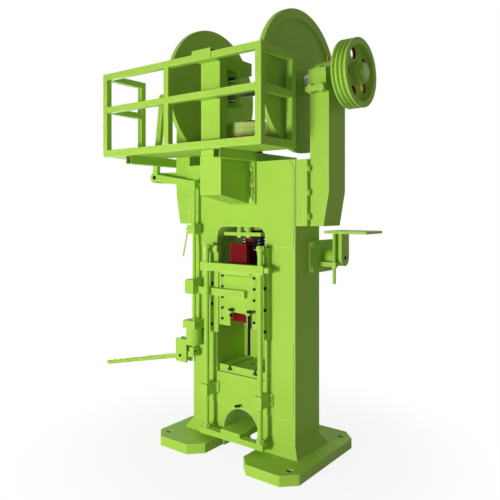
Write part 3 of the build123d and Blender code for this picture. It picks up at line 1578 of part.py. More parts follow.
# Ejector pin that comes up through the bed
with BuildPart() as ejector_pin:
    with BuildSketch(Plane.XY.offset(cross_bar_bottom + cross_block_height)):
        Circle(ejector_pin_radius)
    extrude(amount=ejector_pin_top - cross_bar_bottom - cross_block_height)
ejector_pin.part.label = "ejector_pin"
export_step(ejector_pin.part, "parts/ejector_pin.step")

# Guides for the ejector rods, bolted to the columns
with BuildPart() as ejector_guides:
    for side, sign in sides:
        with BuildSketch(Plane.XZ.offset(front_panel)):
            with Locations((sign * ejector_x, guide_bottom)):
                Rectangle(guide_flange_width, guide_height, align=(Align.CENTER, Align.MIN))
        extrude(amount=guide_flange)
        with BuildSketch(Plane.XY.offset(guide_bottom)):
            with Locations((sign * ejector_x, -front_panel)):
                Rectangle(guide_width, ejector_y + guide_width / 2 - front_panel,
                          align=(Align.CENTER, Align.MAX))
        extrude(amount=guide_height)
        with BuildSketch(Plane.XY.offset(guide_bottom)):
            with Locations((sign * ejector_x, -ejector_y)):
                Circle(ejector_rod_radius + running_gap)
        extrude(amount=guide_height, mode=Mode.SUBTRACT)
ejector_guides.part.label = "ejector_guides"
export_step(ejector_guides.part, "parts/ejector_guides.step")

# Motor bracket: plate on the right column, boss for the hinge pin, ear for the tension screw
with BuildPart() as motor_bracket:
    plate_outer = half_body + bracket_plate_thickness
    with BuildSketch(Plane.YZ.offset(half_body)):
        with Locations((bracket_plate_front, bracket_plate_bottom)):
            Rectangle(bracket_plate_rear - bracket_plate_front, bracket_plate_top - bracket_plate_bottom,
                      align=(Align.MIN, Align.MIN))
    extrude(amount=bracket_plate_thickness)
    with BuildSketch(Plane.YZ.offset(plate_outer)):
        with Locations((hinge_y, hinge_z)):
            Circle(hinge_end_radius)
    extrude(amount=hinge_boss_length)
    with BuildSketch(Plane.YZ.offset(half_body)):
        with Locations((hinge_y, hinge_z)):
            Circle(hinge_pin_radius)
    extrude(amount=bracket_plate_thickness + hinge_boss_length, mode=Mode.SUBTRACT)
    with BuildSketch(Plane.XY.offset(tension_ear_bottom)):
        with Locations((plate_outer, tension_y)):
            Rectangle(tension_x + tension_ear_width / 2 - plate_outer, tension_ear_width,
                      align=(Align.MIN, Align.CENTER))
        with Locations((tension_x, tension_y)):
            Circle(tension_radius, mode=Mode.SUBTRACT)
    extrude(amount=tension_ear_height)
motor_bracket.part.label = "motor_bracket"
export_step(motor_bracket.part, "parts/motor_bracket.step")

# Belt tension screw, on which the motor plate's front edge rests
with BuildPart() as tension_screw:
    with BuildSketch(Plane.XY.offset(tension_bottom)):
        with Locations((tension_x, tension_y)):
            Circle(tension_radius)
    extrude(amount=motor_plate_bottom - tension_bottom)
    with BuildSketch(Plane.XY.offset(tension_ear_bottom)):
        with Locations((tension_x, tension_y)):
            RegularPolygon(tension_radius * head_width_share, 6)
    extrude(amount=-tension_radius)
tension_screw.part.label = "tension_screw"
export_step(tension_screw.part, "parts/tension_screw.step")

# Motor plate on a lug that tilts about the hinge pin
with BuildPart() as motor_plate:
    with BuildSketch(Plane.XY.offset(motor_plate_bottom)):
        with Locations((motor_plate_left, motor_plate_front)):
            Rectangle(motor_plate_width, motor_plate_depth, align=(Align.MIN, Align.MIN))
        with Locations((motor_plate_left + motor_plate_width / 2, motor_plate_front + motor_plate_depth / 2)):
            with GridLocations(motor_hole_spacing_x, motor_hole_spacing_y, 2, 2):
                Circle(motor_hole_radius, mode=Mode.SUBTRACT)
    extrude(amount=motor_plate_thickness)
    with BuildSketch(Plane.YZ.offset(hinge_lug_start)):
        with Locations((hinge_y, hinge_z)):
            Rectangle(2 * hinge_end_radius, motor_plate_bottom - hinge_z, align=(Align.CENTER, Align.MIN))
            Circle(hinge_end_radius)
            Circle(hinge_pin_radius + running_gap, mode=Mode.SUBTRACT)
    extrude(amount=hinge_lug_thickness)
motor_plate.part.label = "motor_plate"
export_step(motor_plate.part, "parts/motor_plate.step")
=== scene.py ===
# %% [markdown]
# # A friction screw press
# The solid model comes first: every casting, disc and rod is already in place, in metres.
# This lesson dresses it. Castings get rounded edges and enamel, and the pieces that a plain
# solid can't show, such as the screw's thread, the coil springs, the leather and the bolt
# heads, are worked out as surfaces with numpy.

# %% Load the solid model
import json
import math
from itertools import product

import bpy
import numpy as np
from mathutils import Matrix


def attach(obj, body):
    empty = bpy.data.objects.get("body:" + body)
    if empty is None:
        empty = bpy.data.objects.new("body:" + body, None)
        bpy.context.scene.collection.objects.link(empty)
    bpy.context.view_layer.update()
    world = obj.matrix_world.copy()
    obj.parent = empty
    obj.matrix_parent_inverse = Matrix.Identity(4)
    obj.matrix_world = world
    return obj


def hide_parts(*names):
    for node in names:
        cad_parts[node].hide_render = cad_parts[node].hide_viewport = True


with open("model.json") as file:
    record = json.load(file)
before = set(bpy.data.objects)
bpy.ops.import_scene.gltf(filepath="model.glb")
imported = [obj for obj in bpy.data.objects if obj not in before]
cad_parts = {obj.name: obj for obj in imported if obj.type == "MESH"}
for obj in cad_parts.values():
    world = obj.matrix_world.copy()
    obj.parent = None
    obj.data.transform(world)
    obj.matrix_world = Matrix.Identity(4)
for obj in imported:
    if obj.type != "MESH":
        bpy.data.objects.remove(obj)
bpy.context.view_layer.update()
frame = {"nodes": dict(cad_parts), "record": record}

MM = 0.001

# %% [markdown]
# ## Small helpers
# A colour is written as on a paint card, as a hex value, and turned to linear light once.
# One function adds a shader node, sets it and links it. One function turns grids of points
# into a mesh, so each shape below is only a formula.

# %% Colour and node helpers
# The colour sockets of a Mix node share their names, so they are found by number.
FACTOR, COLOUR_A, COLOUR_B = 0, 6, 7
MIXED = 2


def linear(hex_colour):
    """Linear RGBA of an sRGB hex value, by the standard sRGB curve."""
    srgb = np.array([int(hex_colour[i:i + 2], 16) for i in (1, 3, 5)]) / 255
    low = srgb / 12.92
    high = ((srgb + 0.055) / 1.055) ** 2.4
    return (*np.where(srgb <= 0.04045, low, high), 1.0)


def per_mm(size):
    """Texture scale, per metre, of a pattern whose features are size millimetres apart."""
    return 1 / (size * MM)


def new_material(name):
    """An empty node material with its Principled shader, as (material, shader)."""
    material = bpy.data.materials.new(name)
    material.use_nodes = True
    return material, material.node_tree.nodes["Principled BSDF"]


def node(owner, kind, inputs=None, **settings):
    """Adds a node to a material or world, sets it, and fills its inputs with values or links."""
    made = owner.node_tree.nodes.new(kind)
    for key, value in settings.items():
        setattr(made, key, value)
    for key, value in (inputs or {}).items():
        if isinstance(value, bpy.types.NodeSocket):
            owner.node_tree.links.new(value, made.inputs[key])
        else:
            made.inputs[key].default_value = value
    return made


def link(owner, source, target):
    """Links one socket to another."""
    owner.node_tree.links.new(source, target)


# %% Mesh helpers


def full_turn(count):
    """Evenly spaced angles of one turn, without the last one, which would meet the first."""
    return np.linspace(0, 2 * np.pi, count, endpoint=False)


def grid_faces(rows, columns, wrap_rows, wrap_columns):
    """Quads between neighbouring points of a rows by columns grid."""
    r = np.arange(rows if wrap_rows else rows - 1)
    c = np.arange(columns if wrap_columns else columns - 1)
    r, c = (a.ravel() for a in np.meshgrid(r, c, indexing="ij"))
    r1 = (r + 1) % rows
    c1 = (c + 1) % columns
    corners = [r * columns + c, r * columns + c1, r1 * columns + c1, r1 * columns + c]
    return np.stack(corners, axis=1).tolist()


def capped_faces(rows, columns):
    """Quads of a grid that wraps round its columns, with a flat face over each end ring."""
    last = (rows - 1) * columns
    ends = [list(range(columns))[::-1], list(range(last, last + columns))]
    return grid_faces(rows, columns, False, True) + ends


def tube(path, across, up, radius, sides):
    """Round tube: each path point plus radius times cos and sin along the two directions."""
    turn = full_turn(sides)[None, :, None]
    ring = radius * (np.cos(turn) * across[:, None] + np.sin(turn) * up[:, None])
    return path[:, None] + ring, capped_faces(len(path), sides)


def make_piece(name, parts, body, material, smooth_angle=35):
    """One object from (points, faces) pairs, its points in metres at their place in the press."""
    points = []
    faces = []
    start = 0
    for xyz, part_faces in parts:
        points.append(xyz.reshape(-1, 3))
        faces += [[i + start for i in face] for face in part_faces]
        start += len(points[-1])
    mesh = bpy.data.meshes.new(name)
    mesh.from_pydata(np.concatenate(points).tolist(), [], faces)
    mesh.validate()
    mesh.shade_smooth()
    mesh.set_sharp_from_angle(angle=math.radians(smooth_angle))
    mesh.materials.append(material)
    piece = bpy.data.objects.new(name, mesh)
    bpy.context.scene.collection.objects.link(piece)
    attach(piece, body)
    print(name, len(mesh.polygons), "faces")
    return piece


# %% [markdown]
# ## Enamel on iron castings
# The press is brushed and sprayed with a bright yellow-green machine enamel over filler.
# Enamel is smooth and glossy, wavy over a casting, a little darker where oil and dust sit,
# and pale along edges, partly rubbed paint and partly a painted highlight where an edge
# catches the light. The edges could be painted by hand. Here a mask compares the true normal
# with one rounded over some millimetres, so it finds every edge by itself.

# %% Enamel material
PATCH_MM = 420
SPOT_MM = 38
# Patch size of the pale edge colour, which is partly rubbed wear and partly a painted highlight.
WEAR_AND_HIGHLIGHT_MM = 22
EDGE_MM = 9
# Real orange peel is 1 to 3 mm across; finer than this it wouldn't show in the render.
PEEL_MM = 7
PEEL_DEPTH_MM = 0.25
SPOT_DULLING = 0.18


def enamel(name, face_hex, deep_hex, wear_and_highlight_hex, wave_mm, wave_depth_mm, roughness):
    """Machine enamel: soil in patches and spots, rubbed edges with painted highlight, casting
    waves, orange peel.
    """
    m, shader = new_material(name)
    place = node(m, "ShaderNodeTexCoord").outputs["Object"]

    # Soil: broad patches and small spots, added, pull the colour to the deeper one.
    patch = node(m, "ShaderNodeTexNoise", {
        "Vector": place, "Scale": per_mm(PATCH_MM), "Detail": 4.0, "Roughness": 0.55})
    spots = node(m, "ShaderNodeTexNoise", {
        "Vector": place, "Scale": per_mm(SPOT_MM), "Detail": 6.0, "Roughness": 0.7})
    patch_share = node(m, "ShaderNodeMapRange", {
        "Value": patch.outputs["Fac"], "From Min": 0.35, "From Max": 0.75,
        "To Min": 0.0, "To Max": 0.3})
    spot_share = node(m, "ShaderNodeMapRange", {
        "Value": spots.outputs["Fac"], "From Min": 0.58, "From Max": 0.8,
        "To Min": 0.0, "To Max": 0.28})
    soil = node(m, "ShaderNodeMath", {
        0: patch_share.outputs["Result"], 1: spot_share.outputs["Result"]},
        operation="ADD", use_clamp=True)
    paint = node(m, "ShaderNodeMix", {
        FACTOR: soil.outputs[0], COLOUR_A: linear(face_hex), COLOUR_B: linear(deep_hex)},
        data_type="RGBA")

    # Rubbed wear and a painted edge highlight: where the rounded normal leaves the true one,
    # broken up by noise.
    rounded = node(m, "ShaderNodeBevel", {"Radius": EDGE_MM * MM}, samples=6)
    true_normal = node(m, "ShaderNodeNewGeometry").outputs["Normal"]
    alike = node(m, "ShaderNodeVectorMath", {0: rounded.outputs["Normal"], 1: true_normal},
                 operation="DOT_PRODUCT")
    edge = node(m, "ShaderNodeMapRange", {
        "Value": alike.outputs["Value"], "From Min": 0.985, "From Max": 0.80,
        "To Min": 0.0, "To Max": 1.0})
    wear_and_highlight_noise = node(m, "ShaderNodeTexNoise", {
        "Vector": place, "Scale": per_mm(WEAR_AND_HIGHLIGHT_MM), "Detail": 5.0, "Roughness": 0.65})
    wear_and_highlight_share = node(m, "ShaderNodeMapRange", {
        "Value": wear_and_highlight_noise.outputs["Fac"], "From Min": 0.38, "From Max": 0.62,
        "To Min": 0.3, "To Max": 0.9})
    wear_and_highlight = node(m, "ShaderNodeMath", {0: edge.outputs["Result"], 1: wear_and_highlight_share.outputs["Result"]},
               operation="MULTIPLY", use_clamp=True)
    colour = node(m, "ShaderNodeMix", {
        FACTOR: wear_and_highlight.outputs[0], COLOUR_A: paint.outputs[MIXED], COLOUR_B: linear(wear_and_highlight_hex)},
        data_type="RGBA")

    # Gloss and relief: spots are duller, and orange peel lies over the casting's waves.
    rough = node(m, "ShaderNodeMapRange", {
        "Value": spots.outputs["Fac"], "From Min": 0.3, "From Max": 0.75,
        "To Min": roughness, "To Max": roughness + SPOT_DULLING})
    wave = node(m, "ShaderNodeTexNoise", {
        "Vector": place, "Scale": per_mm(wave_mm), "Detail": 2.0, "Roughness": 0.4})
    peel = node(m, "ShaderNodeTexNoise", {
        "Vector": place, "Scale": per_mm(PEEL_MM), "Detail": 2.0})
    swell = node(m, "ShaderNodeBump", {
        "Height": wave.outputs["Fac"], "Strength": 0.5, "Distance": wave_depth_mm * MM})
    skin = node(m, "ShaderNodeBump", {
        "Height": peel.outputs["Fac"], "Strength": 0.25, "Distance": PEEL_DEPTH_MM * MM,
        "Normal": swell.outputs["Normal"]})
    link(m, colour.outputs[MIXED], shader.inputs["Base Color"])
    link(m, rough.outputs["Result"], shader.inputs["Roughness"])
    link(m, skin.outputs["Normal"], shader.inputs["Normal"])
    # Dusty enamel mirrors less than new paint, so its specular level is low.
    shader.inputs["IOR"].default_value = 1.5
    shader.inputs["Specular IOR Level"].default_value = 0.1
    print("material:", name)
    return m


# %% Enamel colours
# Castings show the sand's short waves, rolled steel is flatter and a little glossier, machined
# steel is nearly flat, and blackened steel is dark and dull with grey edges. The third colour
# of each is its edge colour: partly rubbed wear, partly a painted highlight.
GREEN_FACE = "#A8D14E"
GREEN_DEEP = "#8FBF36"
# Pale edge green: rubbed paint, and a painted highlight along the edges.
GREEN_WEAR_AND_HIGHLIGHT = "#D2EE9A"
green_cast = enamel("green enamel on sand-cast iron", GREEN_FACE, GREEN_DEEP, GREEN_WEAR_AND_HIGHLIGHT,
                    wave_mm=70, wave_depth_mm=1.6, roughness=0.38)
green_sheet = enamel("green enamel on rolled steel", GREEN_FACE, GREEN_DEEP, GREEN_WEAR_AND_HIGHLIGHT,
                     wave_mm=160, wave_depth_mm=0.8, roughness=0.34)
red_enamel = enamel("dark red enamel on machined steel", "#74040A", "#560308", "#B0402C",
                    wave_mm=60, wave_depth_mm=0.6, roughness=0.3)
black_steel = enamel("oil-blackened steel", "#1B1C20", "#101114", "#3B3C40",
                     wave_mm=24, wave_depth_mm=0.4, roughness=0.42)

# %% [markdown]
# ## Bare metal
# Turned steel is bright, with fine scratches and a blotchy dull grey where hands don't reach.
# Bronze bushes are the same with a warm colour. The shaft's ends stand out past the bearings,
# where the sprayer caught them. Two materials would need the shaft's mesh cut in pieces, so one
# material reads X and turns into paint there.

# %% Metal materials
BLOTCH_MM = 30
# Real scratches are a fraction of a millimetre; they are drawn this coarse to show.
SCRATCH_MM = 4
SCRATCH_DEPTH_MM = 0.1
DULLING = 0.2
SPRAY_EDGE_MM = 4


def turned_metal(name, face_hex, dull_hex, roughness, paint_from_mm=None):
    """Metal with dull blotches and scratches, and green spray past a distance in X."""
    m, shader = new_material(name)
    place = node(m, "ShaderNodeTexCoord").outputs["Object"]
    blotch = node(m, "ShaderNodeTexNoise", {
        "Vector": place, "Scale": per_mm(BLOTCH_MM), "Detail": 5.0, "Roughness": 0.6})
    scratch = node(m, "ShaderNodeTexNoise", {
        "Vector": place, "Scale": per_mm(SCRATCH_MM), "Detail": 3.0})
    share = node(m, "ShaderNodeMapRange", {
        "Value": blotch.outputs["Fac"], "From Min": 0.35, "From Max": 0.7})
    colour = node(m, "ShaderNodeMix", {
        FACTOR: share.outputs["Result"], COLOUR_A: linear(face_hex), COLOUR_B: linear(dull_hex)},
        data_type="RGBA")
    rough = node(m, "ShaderNodeMapRange", {
        "Value": blotch.outputs["Fac"], "From Min": 0.3, "From Max": 0.75,
        "To Min": roughness, "To Max": roughness + DULLING})
    fine = node(m, "ShaderNodeBump", {
        "Height": scratch.outputs["Fac"], "Strength": 0.2, "Distance": SCRATCH_DEPTH_MM * MM})
    link(m, rough.outputs["Result"], shader.inputs["Roughness"])
    link(m, fine.outputs["Normal"], shader.inputs["Normal"])
    print("material:", name)
    if paint_from_mm is None:
        link(m, colour.outputs[MIXED], shader.inputs["Base Color"])
        shader.inputs["Metallic"].default_value = 1.0
        return m
    along = node(m, "ShaderNodeSeparateXYZ", {0: place}).outputs["X"]
    far = node(m, "ShaderNodeMath", {0: along}, operation="ABSOLUTE")
    bare = node(m, "ShaderNodeMapRange", {
        "Value": far.outputs[0], "From Min": (paint_from_mm + SPRAY_EDGE_MM) * MM,
        "From Max": paint_from_mm * MM})
    greened = node(m, "ShaderNodeMix", {
        FACTOR: bare.outputs["Result"], COLOUR_A: linear(GREEN_DEEP),
        COLOUR_B: colour.outputs[MIXED]}, data_type="RGBA")
    link(m, greened.outputs[MIXED], shader.inputs["Base Color"])
    link(m, bare.outputs["Result"], shader.inputs["Metallic"])
    return m


STEEL_FACE = "#B9BABD"
STEEL_DULL = "#8C8E92"
turned_steel = turned_metal("turned steel", STEEL_FACE, STEEL_DULL, roughness=0.28)
shaft_steel = turned_metal("turned steel shaft, sprayed at its ends", STEEL_FACE, STEEL_DULL,
                           roughness=0.28, paint_from_mm=610)
cast_bronze = turned_metal("machined bronze", "#9A7A42", "#6F5630", roughness=0.38)

# %% [markdown]
# ## Leather
# The flywheel's rim is faced with leather, because leather grips the iron discs without
# scoring them. Green lies over the grain, partly overspray and partly a painted green
# reflection, and the tan shows at the lower edge. A painted map could hold that border, but a
# height with noise added needs no map and is as ragged as real mist.

# %% Leather material
TAN = ("#D2A56A", "#8A5230")
# The green over the leather: partly overspray, partly a painted green reflection.
GREEN_SPRAY_AND_REFLECTION = ("#C6D678", "#9DB84C")
# Real grain is about 1 mm; it is drawn this coarse to show.
GRAIN_MM = 5
GRAIN_DEPTH_MM = 0.8
STAIN_MM = 60
GREEN_BORDER_RAGGED_MM = 16


def friction_leather(name, tan_to_mm, green_from_mm):
    """Tanned leather: grain cells, darker blotches, and green, partly spray and partly a painted
    reflection, fading downwards.
    """
    m, shader = new_material(name)
    place = node(m, "ShaderNodeTexCoord").outputs["Object"]
    grain = node(m, "ShaderNodeTexVoronoi", {"Vector": place, "Scale": per_mm(GRAIN_MM)},
                 feature="DISTANCE_TO_EDGE")
    blotch = node(m, "ShaderNodeTexNoise", {
        "Vector": place, "Scale": per_mm(STAIN_MM), "Detail": 5.0, "Roughness": 0.65})
    share = node(m, "ShaderNodeMapRange", {
        "Value": blotch.outputs["Fac"], "From Min": 0.35, "From Max": 0.7})
    tan, spray_and_reflection = (node(m, "ShaderNodeMix", {
        FACTOR: share.outputs["Result"], COLOUR_A: linear(face_hex), COLOUR_B: linear(dark_hex)},
        data_type="RGBA") for face_hex, dark_hex in (TAN, GREEN_SPRAY_AND_REFLECTION))
    # Green above a ragged height, tan below; the green is partly overspray, partly painted
    # reflection.
    height = node(m, "ShaderNodeSeparateXYZ", {0: place}).outputs["Z"]
    ragged = node(m, "ShaderNodeMath", {
        0: blotch.outputs["Fac"], 1: GREEN_BORDER_RAGGED_MM * MM, 2: height}, operation="MULTIPLY_ADD")
    greened = node(m, "ShaderNodeMapRange", {
        "Value": ragged.outputs[0], "From Min": tan_to_mm * MM, "From Max": green_from_mm * MM})
    colour = node(m, "ShaderNodeMix", {
        FACTOR: greened.outputs["Result"], COLOUR_A: tan.outputs[MIXED],
        COLOUR_B: spray_and_reflection.outputs[MIXED]}, data_type="RGBA")
    rough = node(m, "ShaderNodeMapRange", {
        "Value": blotch.outputs["Fac"], "To Min": 0.5, "To Max": 0.75})
    cells = node(m, "ShaderNodeBump", {
        "Height": grain.outputs["Distance"], "Strength": 0.5, "Distance": GRAIN_DEPTH_MM * MM})
    link(m, colour.outputs[MIXED], shader.inputs["Base Color"])
    link(m, rough.outputs["Result"], shader.inputs["Roughness"])
    link(m, cells.outputs["Normal"], shader.inputs["Normal"])
    print("material:", name)
    return m


leather = friction_leather("tanned friction leather, green spray and painted reflection",
                           tan_to_mm=1945, green_from_mm=1962)

# %% [markdown]
# ## Dress the solids
# A casting never has a knife edge: the pattern maker rounds it so that the sand holds.
# The solids come as loose triangles, so a Weld joins them and a Bevel rounds every edge that
# is sharper than a facet. Then each solid gets the finish of its material slot. Screws and
# pins that look dark are blackened: the gib screws, and the pivot pins as painted shade, as
# the holes they sit in look dark. The shaft is sprayed at its ends.

# %% Rounded edges and finishes for the solids
CAST = {"frame_casting", "left_arm", "right_arm", "front_bracket", "bearing_blocks",
        "bearing_caps", "left_disc", "right_disc", "v_pulley", "flywheel", "lever_housing",
        "fulcrum_bracket", "bell_crank", "ram_body", "motor_bracket", "ejector_guides"}
SLOT_FINISH = {"green_paint": green_sheet, "red_paint": red_enamel,
               "machined_steel": turned_steel, "black_steel": black_steel,
               "bronze": cast_bronze, "leather": leather}
# Pivot pins are blackened as painted shade: the holes they sit in look dark.
OWN_FINISH = {"gib_bolts": black_steel, "pivot_pins": black_steel, "drive_shaft": shaft_steel}
ROUND_MM = dict.fromkeys(("frame_casting", "left_arm", "right_arm", "front_bracket",
                          "guard_front", "guard_left_end", "guard_right_end"), 3.0)
ROUND_MM["front_post"] = 4.0
SMALL_ROUND_MM = 1.2
WELD_MM = 0.02
SHARP_ANGLE = math.radians(40)
slot_of = {row["node"]: row["material_slot"] for row in frame["record"]["subparts"]}
for name, solid in frame["nodes"].items():
    finish = SLOT_FINISH[slot_of[name]]
    if name in CAST and finish is green_sheet:
        finish = green_cast
    solid.data.materials.clear()
    solid.data.materials.append(OWN_FINISH.get(name, finish))
    weld = solid.modifiers.new("weld", "WELD")
    weld.merge_threshold = WELD_MM * MM
    bevel = solid.modifiers.new("round edges", "BEVEL")
    bevel.width = ROUND_MM.get(name, SMALL_ROUND_MM) * MM
    bevel.segments = 2
    bevel.limit_method = "ANGLE"
    bevel.angle_limit = SHARP_ANGLE
    bevel.use_clamp_overlap = True
    bevel.harden_normals = True
print("dressed", len(frame["nodes"]), "solids")

# %% [markdown]
# ## The screw
# A friction press has a steep screw with several starts, so that the flywheel can drive it
# and it never locks. A Screw modifier could wind the thread, but its ends would still have to
# be joined to the plain neck and collar. Here one grid is all of it, and the radius is a
# function of angle and height: the height, less the lead times the turn, repeats once per
# thread, and a flat-topped wave of it cuts the groove.

# %% Screw with a three-start thread
LEAD = 70
STARTS = 3
SCREW_R = 60
ROOT_R = 53.5
COLLAR_R = 75
NECK_R = 50
TIP_R = 46
SCREW_SIDES = 96
# The plain parts, as (height, radius), from the foot up.
BELOW_THREAD = np.array([
    (1010, SCREW_R), (1061.95, SCREW_R), (1061.95, COLLAR_R), (1089.95, COLLAR_R),
    (1089.95, SCREW_R), (1128, SCREW_R), (1130, ROOT_R)])
ABOVE_THREAD = np.array([
    (1902, ROOT_R), (1904, SCREW_R), (1920, SCREW_R), (1920, NECK_R), (2068, NECK_R),
    (2072, TIP_R)])
THREAD_Z = np.arange(1132, 1900, 2)
WAVE_MIDDLE = 0.5
WAVE_HEIGHT = 1.4


def screw_surface():
    """Radius = crest less depth times a clipped cosine of starts * (height / lead - turn)."""
    turn = full_turn(SCREW_SIDES)
    wave = np.cos(STARTS * (2 * np.pi * THREAD_Z[:, None] / LEAD - turn))
    groove = np.clip(WAVE_MIDDLE + WAVE_HEIGHT * wave, 0, 1)
    r_thread = SCREW_R - (SCREW_R - ROOT_R) * groove
    z = np.concatenate([BELOW_THREAD[:, 0], THREAD_Z, ABOVE_THREAD[:, 0]])
    ones = np.ones_like(turn)
    r = np.concatenate([BELOW_THREAD[:, 1:] * ones, r_thread, ABOVE_THREAD[:, 1:] * ones])
    points = np.stack([r * np.cos(turn), r * np.sin(turn), z[:, None] * ones], axis=2) * MM
    return points, capped_faces(len(z), len(turn))


screw_piece = make_piece("screw_with_thread", [screw_surface()], "screw", red_enamel)
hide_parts("screw")

# %% [markdown]
# ## Coil springs
# Two black springs under the crown soften the ram's top stop, and one more presses the brake.
# A coil is a round wire carried along a helix. A curve with a round bevel could draw it, point
# by point. The formula is shorter, and a ramp in the height, clipped at both ends, lays the
# end turns flat, as they are on ground springs.

# %% Coil springs
STOP_SPRING_X, STOP_SPRING_Y = 92, 72
BRAKE_SPRING_Y = -230
STOP_SPRING = {"bottom": 1256, "length": 82, "radius": 38, "wire": 11, "turns": 5}
BRAKE_SPRING = {"bottom": 2146, "length": 159, "radius": 20, "wire": 7, "turns": 9}
FLAT_TURN = 0.6
STEPS_PER_TURN = 40
WIRE_SIDES = 10


def coil(x, y, bottom, length, radius, wire, turns):
    """Wire along a helix: the angle grows evenly, the height by a ramp between flat ends."""
    t = np.linspace(0, 1, STEPS_PER_TURN * turns)
    rise = np.clip((t * turns - FLAT_TURN) / (turns - 2 * FLAT_TURN), 0, 1)
    angle = 2 * np.pi * turns * t
    height = bottom + wire / 2 + (length - wire) * rise
    out = np.stack([np.cos(angle), np.sin(angle), 0 * angle], axis=1)
    path = np.stack([x + radius * out[:, 0], y + radius * out[:, 1], height], axis=1) * MM
    up = np.zeros_like(out) + [0, 0, 1]
    return tube(path, up, out, wire / 2 * MM, WIRE_SIDES)


spring_parts = [coil(side * STOP_SPRING_X, -side * STOP_SPRING_Y, **STOP_SPRING)
                for side in (-1, 1)]
spring_parts.append(coil(0, BRAKE_SPRING_Y, **BRAKE_SPRING))
springs = make_piece("coil_springs", spring_parts, "frame", black_steel)
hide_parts("stop_springs")

# %% [markdown]
# ## Leather on the flywheel
# The lining is three hoops of leather blocks, butted end to end. Separate blocks would leave
# open gaps between them, so it is one closed surface. The radius is a function of angle and
# height again: it dips at each block's end and between the hoops, and each block is slightly
# crowned, as leather is after a little wear.

# %% Leather lining
LINING_R = 318
LINING_BORE_R = 309
LINING_Z = 1930
HOOP_HEIGHT = 30
HOOPS = 3
BLOCKS = 24
BLOCK_END_DIP = 2.2
BLOCK_END_FROM = 0.9
LINING_SIDES = 432
# One hoop from its lower edge up, as (share of its height, dip). The next starts the same way.
HOOP = np.array([(0, 3.2), (0.04, 1.2), (0.1, 0.3), (0.5, 0.0), (0.9, 0.3), (0.96, 1.2)])


def lining_surface():
    """Outer radius less a dip near block ends and hoop edges; the inside is a plain cylinder."""
    turn = full_turn(LINING_SIDES)
    along = np.abs(((turn * BLOCKS / (2 * np.pi)) % 1) - 0.5) * 2
    block_dip = np.clip((along - BLOCK_END_FROM) / (1 - BLOCK_END_FROM), 0, 1) ** 2
    share = np.append((np.arange(HOOPS)[:, None] + HOOP[:, 0]).ravel(), HOOPS)
    hoop_dip = np.append(np.tile(HOOP[:, 1], HOOPS), HOOP[0, 1])
    r = LINING_R - np.maximum(hoop_dip[:, None], BLOCK_END_DIP * block_dip)
    z = LINING_Z + HOOP_HEIGHT * share
    bore = np.full_like(r[:1], LINING_BORE_R)
    r = np.concatenate([bore, r, bore])
    z = np.concatenate([z[:1], z, z[-1:]])
    points = np.stack([r * np.cos(turn), r * np.sin(turn), z[:, None] + 0 * r], axis=2) * MM
    return points, grid_faces(len(z), len(turn), True, True)


lining = make_piece("leather_lining", [lining_surface()], "screw", leather, 60)
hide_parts("flywheel_lining")

# %% [markdown]
# ## Bolt heads and washers
# A forged hexagon head has a round chamfer on top, and a washer under it. A six-sided cylinder
# would lack the chamfer. Here head and washer are surfaces of one ring of angles: the head's
# outline is the apothem over the cosine within each sixth of a turn, and near the top it is
# cut to a circle. Every measure is a share of the bolt's size, so one function makes them all.

# %% Hexagon heads on washers
WASHER_R, WASHER_TOP = 1.0, 0.14
APOTHEM, HEAD_TOP = 0.74, 0.65
CHAMFER_R, CHAMFER_SLOPE, CHAMFER_STEP = 1.02, 0.6, 0.03
HEAD_SIDES = 24
UP, DOWN = (0, 0, 1), (0, 0, -1)
LEFT, RIGHT, FRONT = (-1, 0, 0), (1, 0, 0), (0, -1, 0)


def hex_head(place, axis, size, washer=True):
    """Radius = apothem / cos(angle in its sixth), cut to a circle on top; along an axis, in mm."""
    turn = full_turn(HEAD_SIDES)
    flat = size * APOTHEM
    corner = flat / np.cos((turn % (np.pi / 3)) - np.pi / 6)
    ring = np.minimum(corner, flat * CHAMFER_R)
    base = size * WASHER_TOP if washer else 0.0
    top = size * HEAD_TOP
    shoulder = top - (corner - ring) * CHAMFER_SLOPE - size * CHAMFER_STEP
    rows = [(corner, base), (corner, shoulder), (ring, top)]
    if washer:
        rows = [(size * WASHER_R, 0.0), (size * WASHER_R, base)] + rows
    r, h = (np.stack([row + 0 * turn for row in column]) for column in zip(*rows))
    axis = np.array(axis, float)
    side = np.cross(axis, UP if axis[2] == 0 else RIGHT)
    side /= np.linalg.norm(side)
    up = np.cross(axis, side)
    across = (r * np.cos(turn))[..., None] * side + (r * np.sin(turn))[..., None] * up
    local = across + h[..., None] * axis
    return (np.array(place) + local) * MM, capped_faces(len(rows), len(turn))


def heads(xs, ys, zs, axis, size, washer=True):
    """One head at each combination of the given x, y and z, in mm."""
    return [hex_head(place, axis, size, washer) for place in product(xs, ys, zs)]


# %% [markdown]
# ## Where the heads sit
# Large bolts hold the arms to the body's sides, the bracket to its front and the stop plate
# under its crown. Smaller ones hold bearings, guides and brackets. Each row stands on the
# face that it clamps, so it needs only that face and the bolts' spacing.

# %% Heads on the arms, the front bracket and the stop plate
ARM_FACE_X = 475
BRACKET_FACE_Y = -164
STOP_PLATE_Z = 1338
frame_bolts = heads([-ARM_FACE_X], (-114, 114), (1460, 1600, 1740), LEFT, size=20)
frame_bolts += heads([ARM_FACE_X], (-114, 114), (1460, 1600, 1740), RIGHT, size=20)
frame_bolts += heads((-102, 102), [BRACKET_FACE_Y], (1560, 1654, 1748), FRONT, size=16)
frame_bolts += heads((-35, 35), (-105, 105), [STOP_PLATE_Z], DOWN, size=20)
frame_heads = make_piece("frame_bolt_heads", frame_bolts, "frame", green_sheet)
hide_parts("frame_bolts")

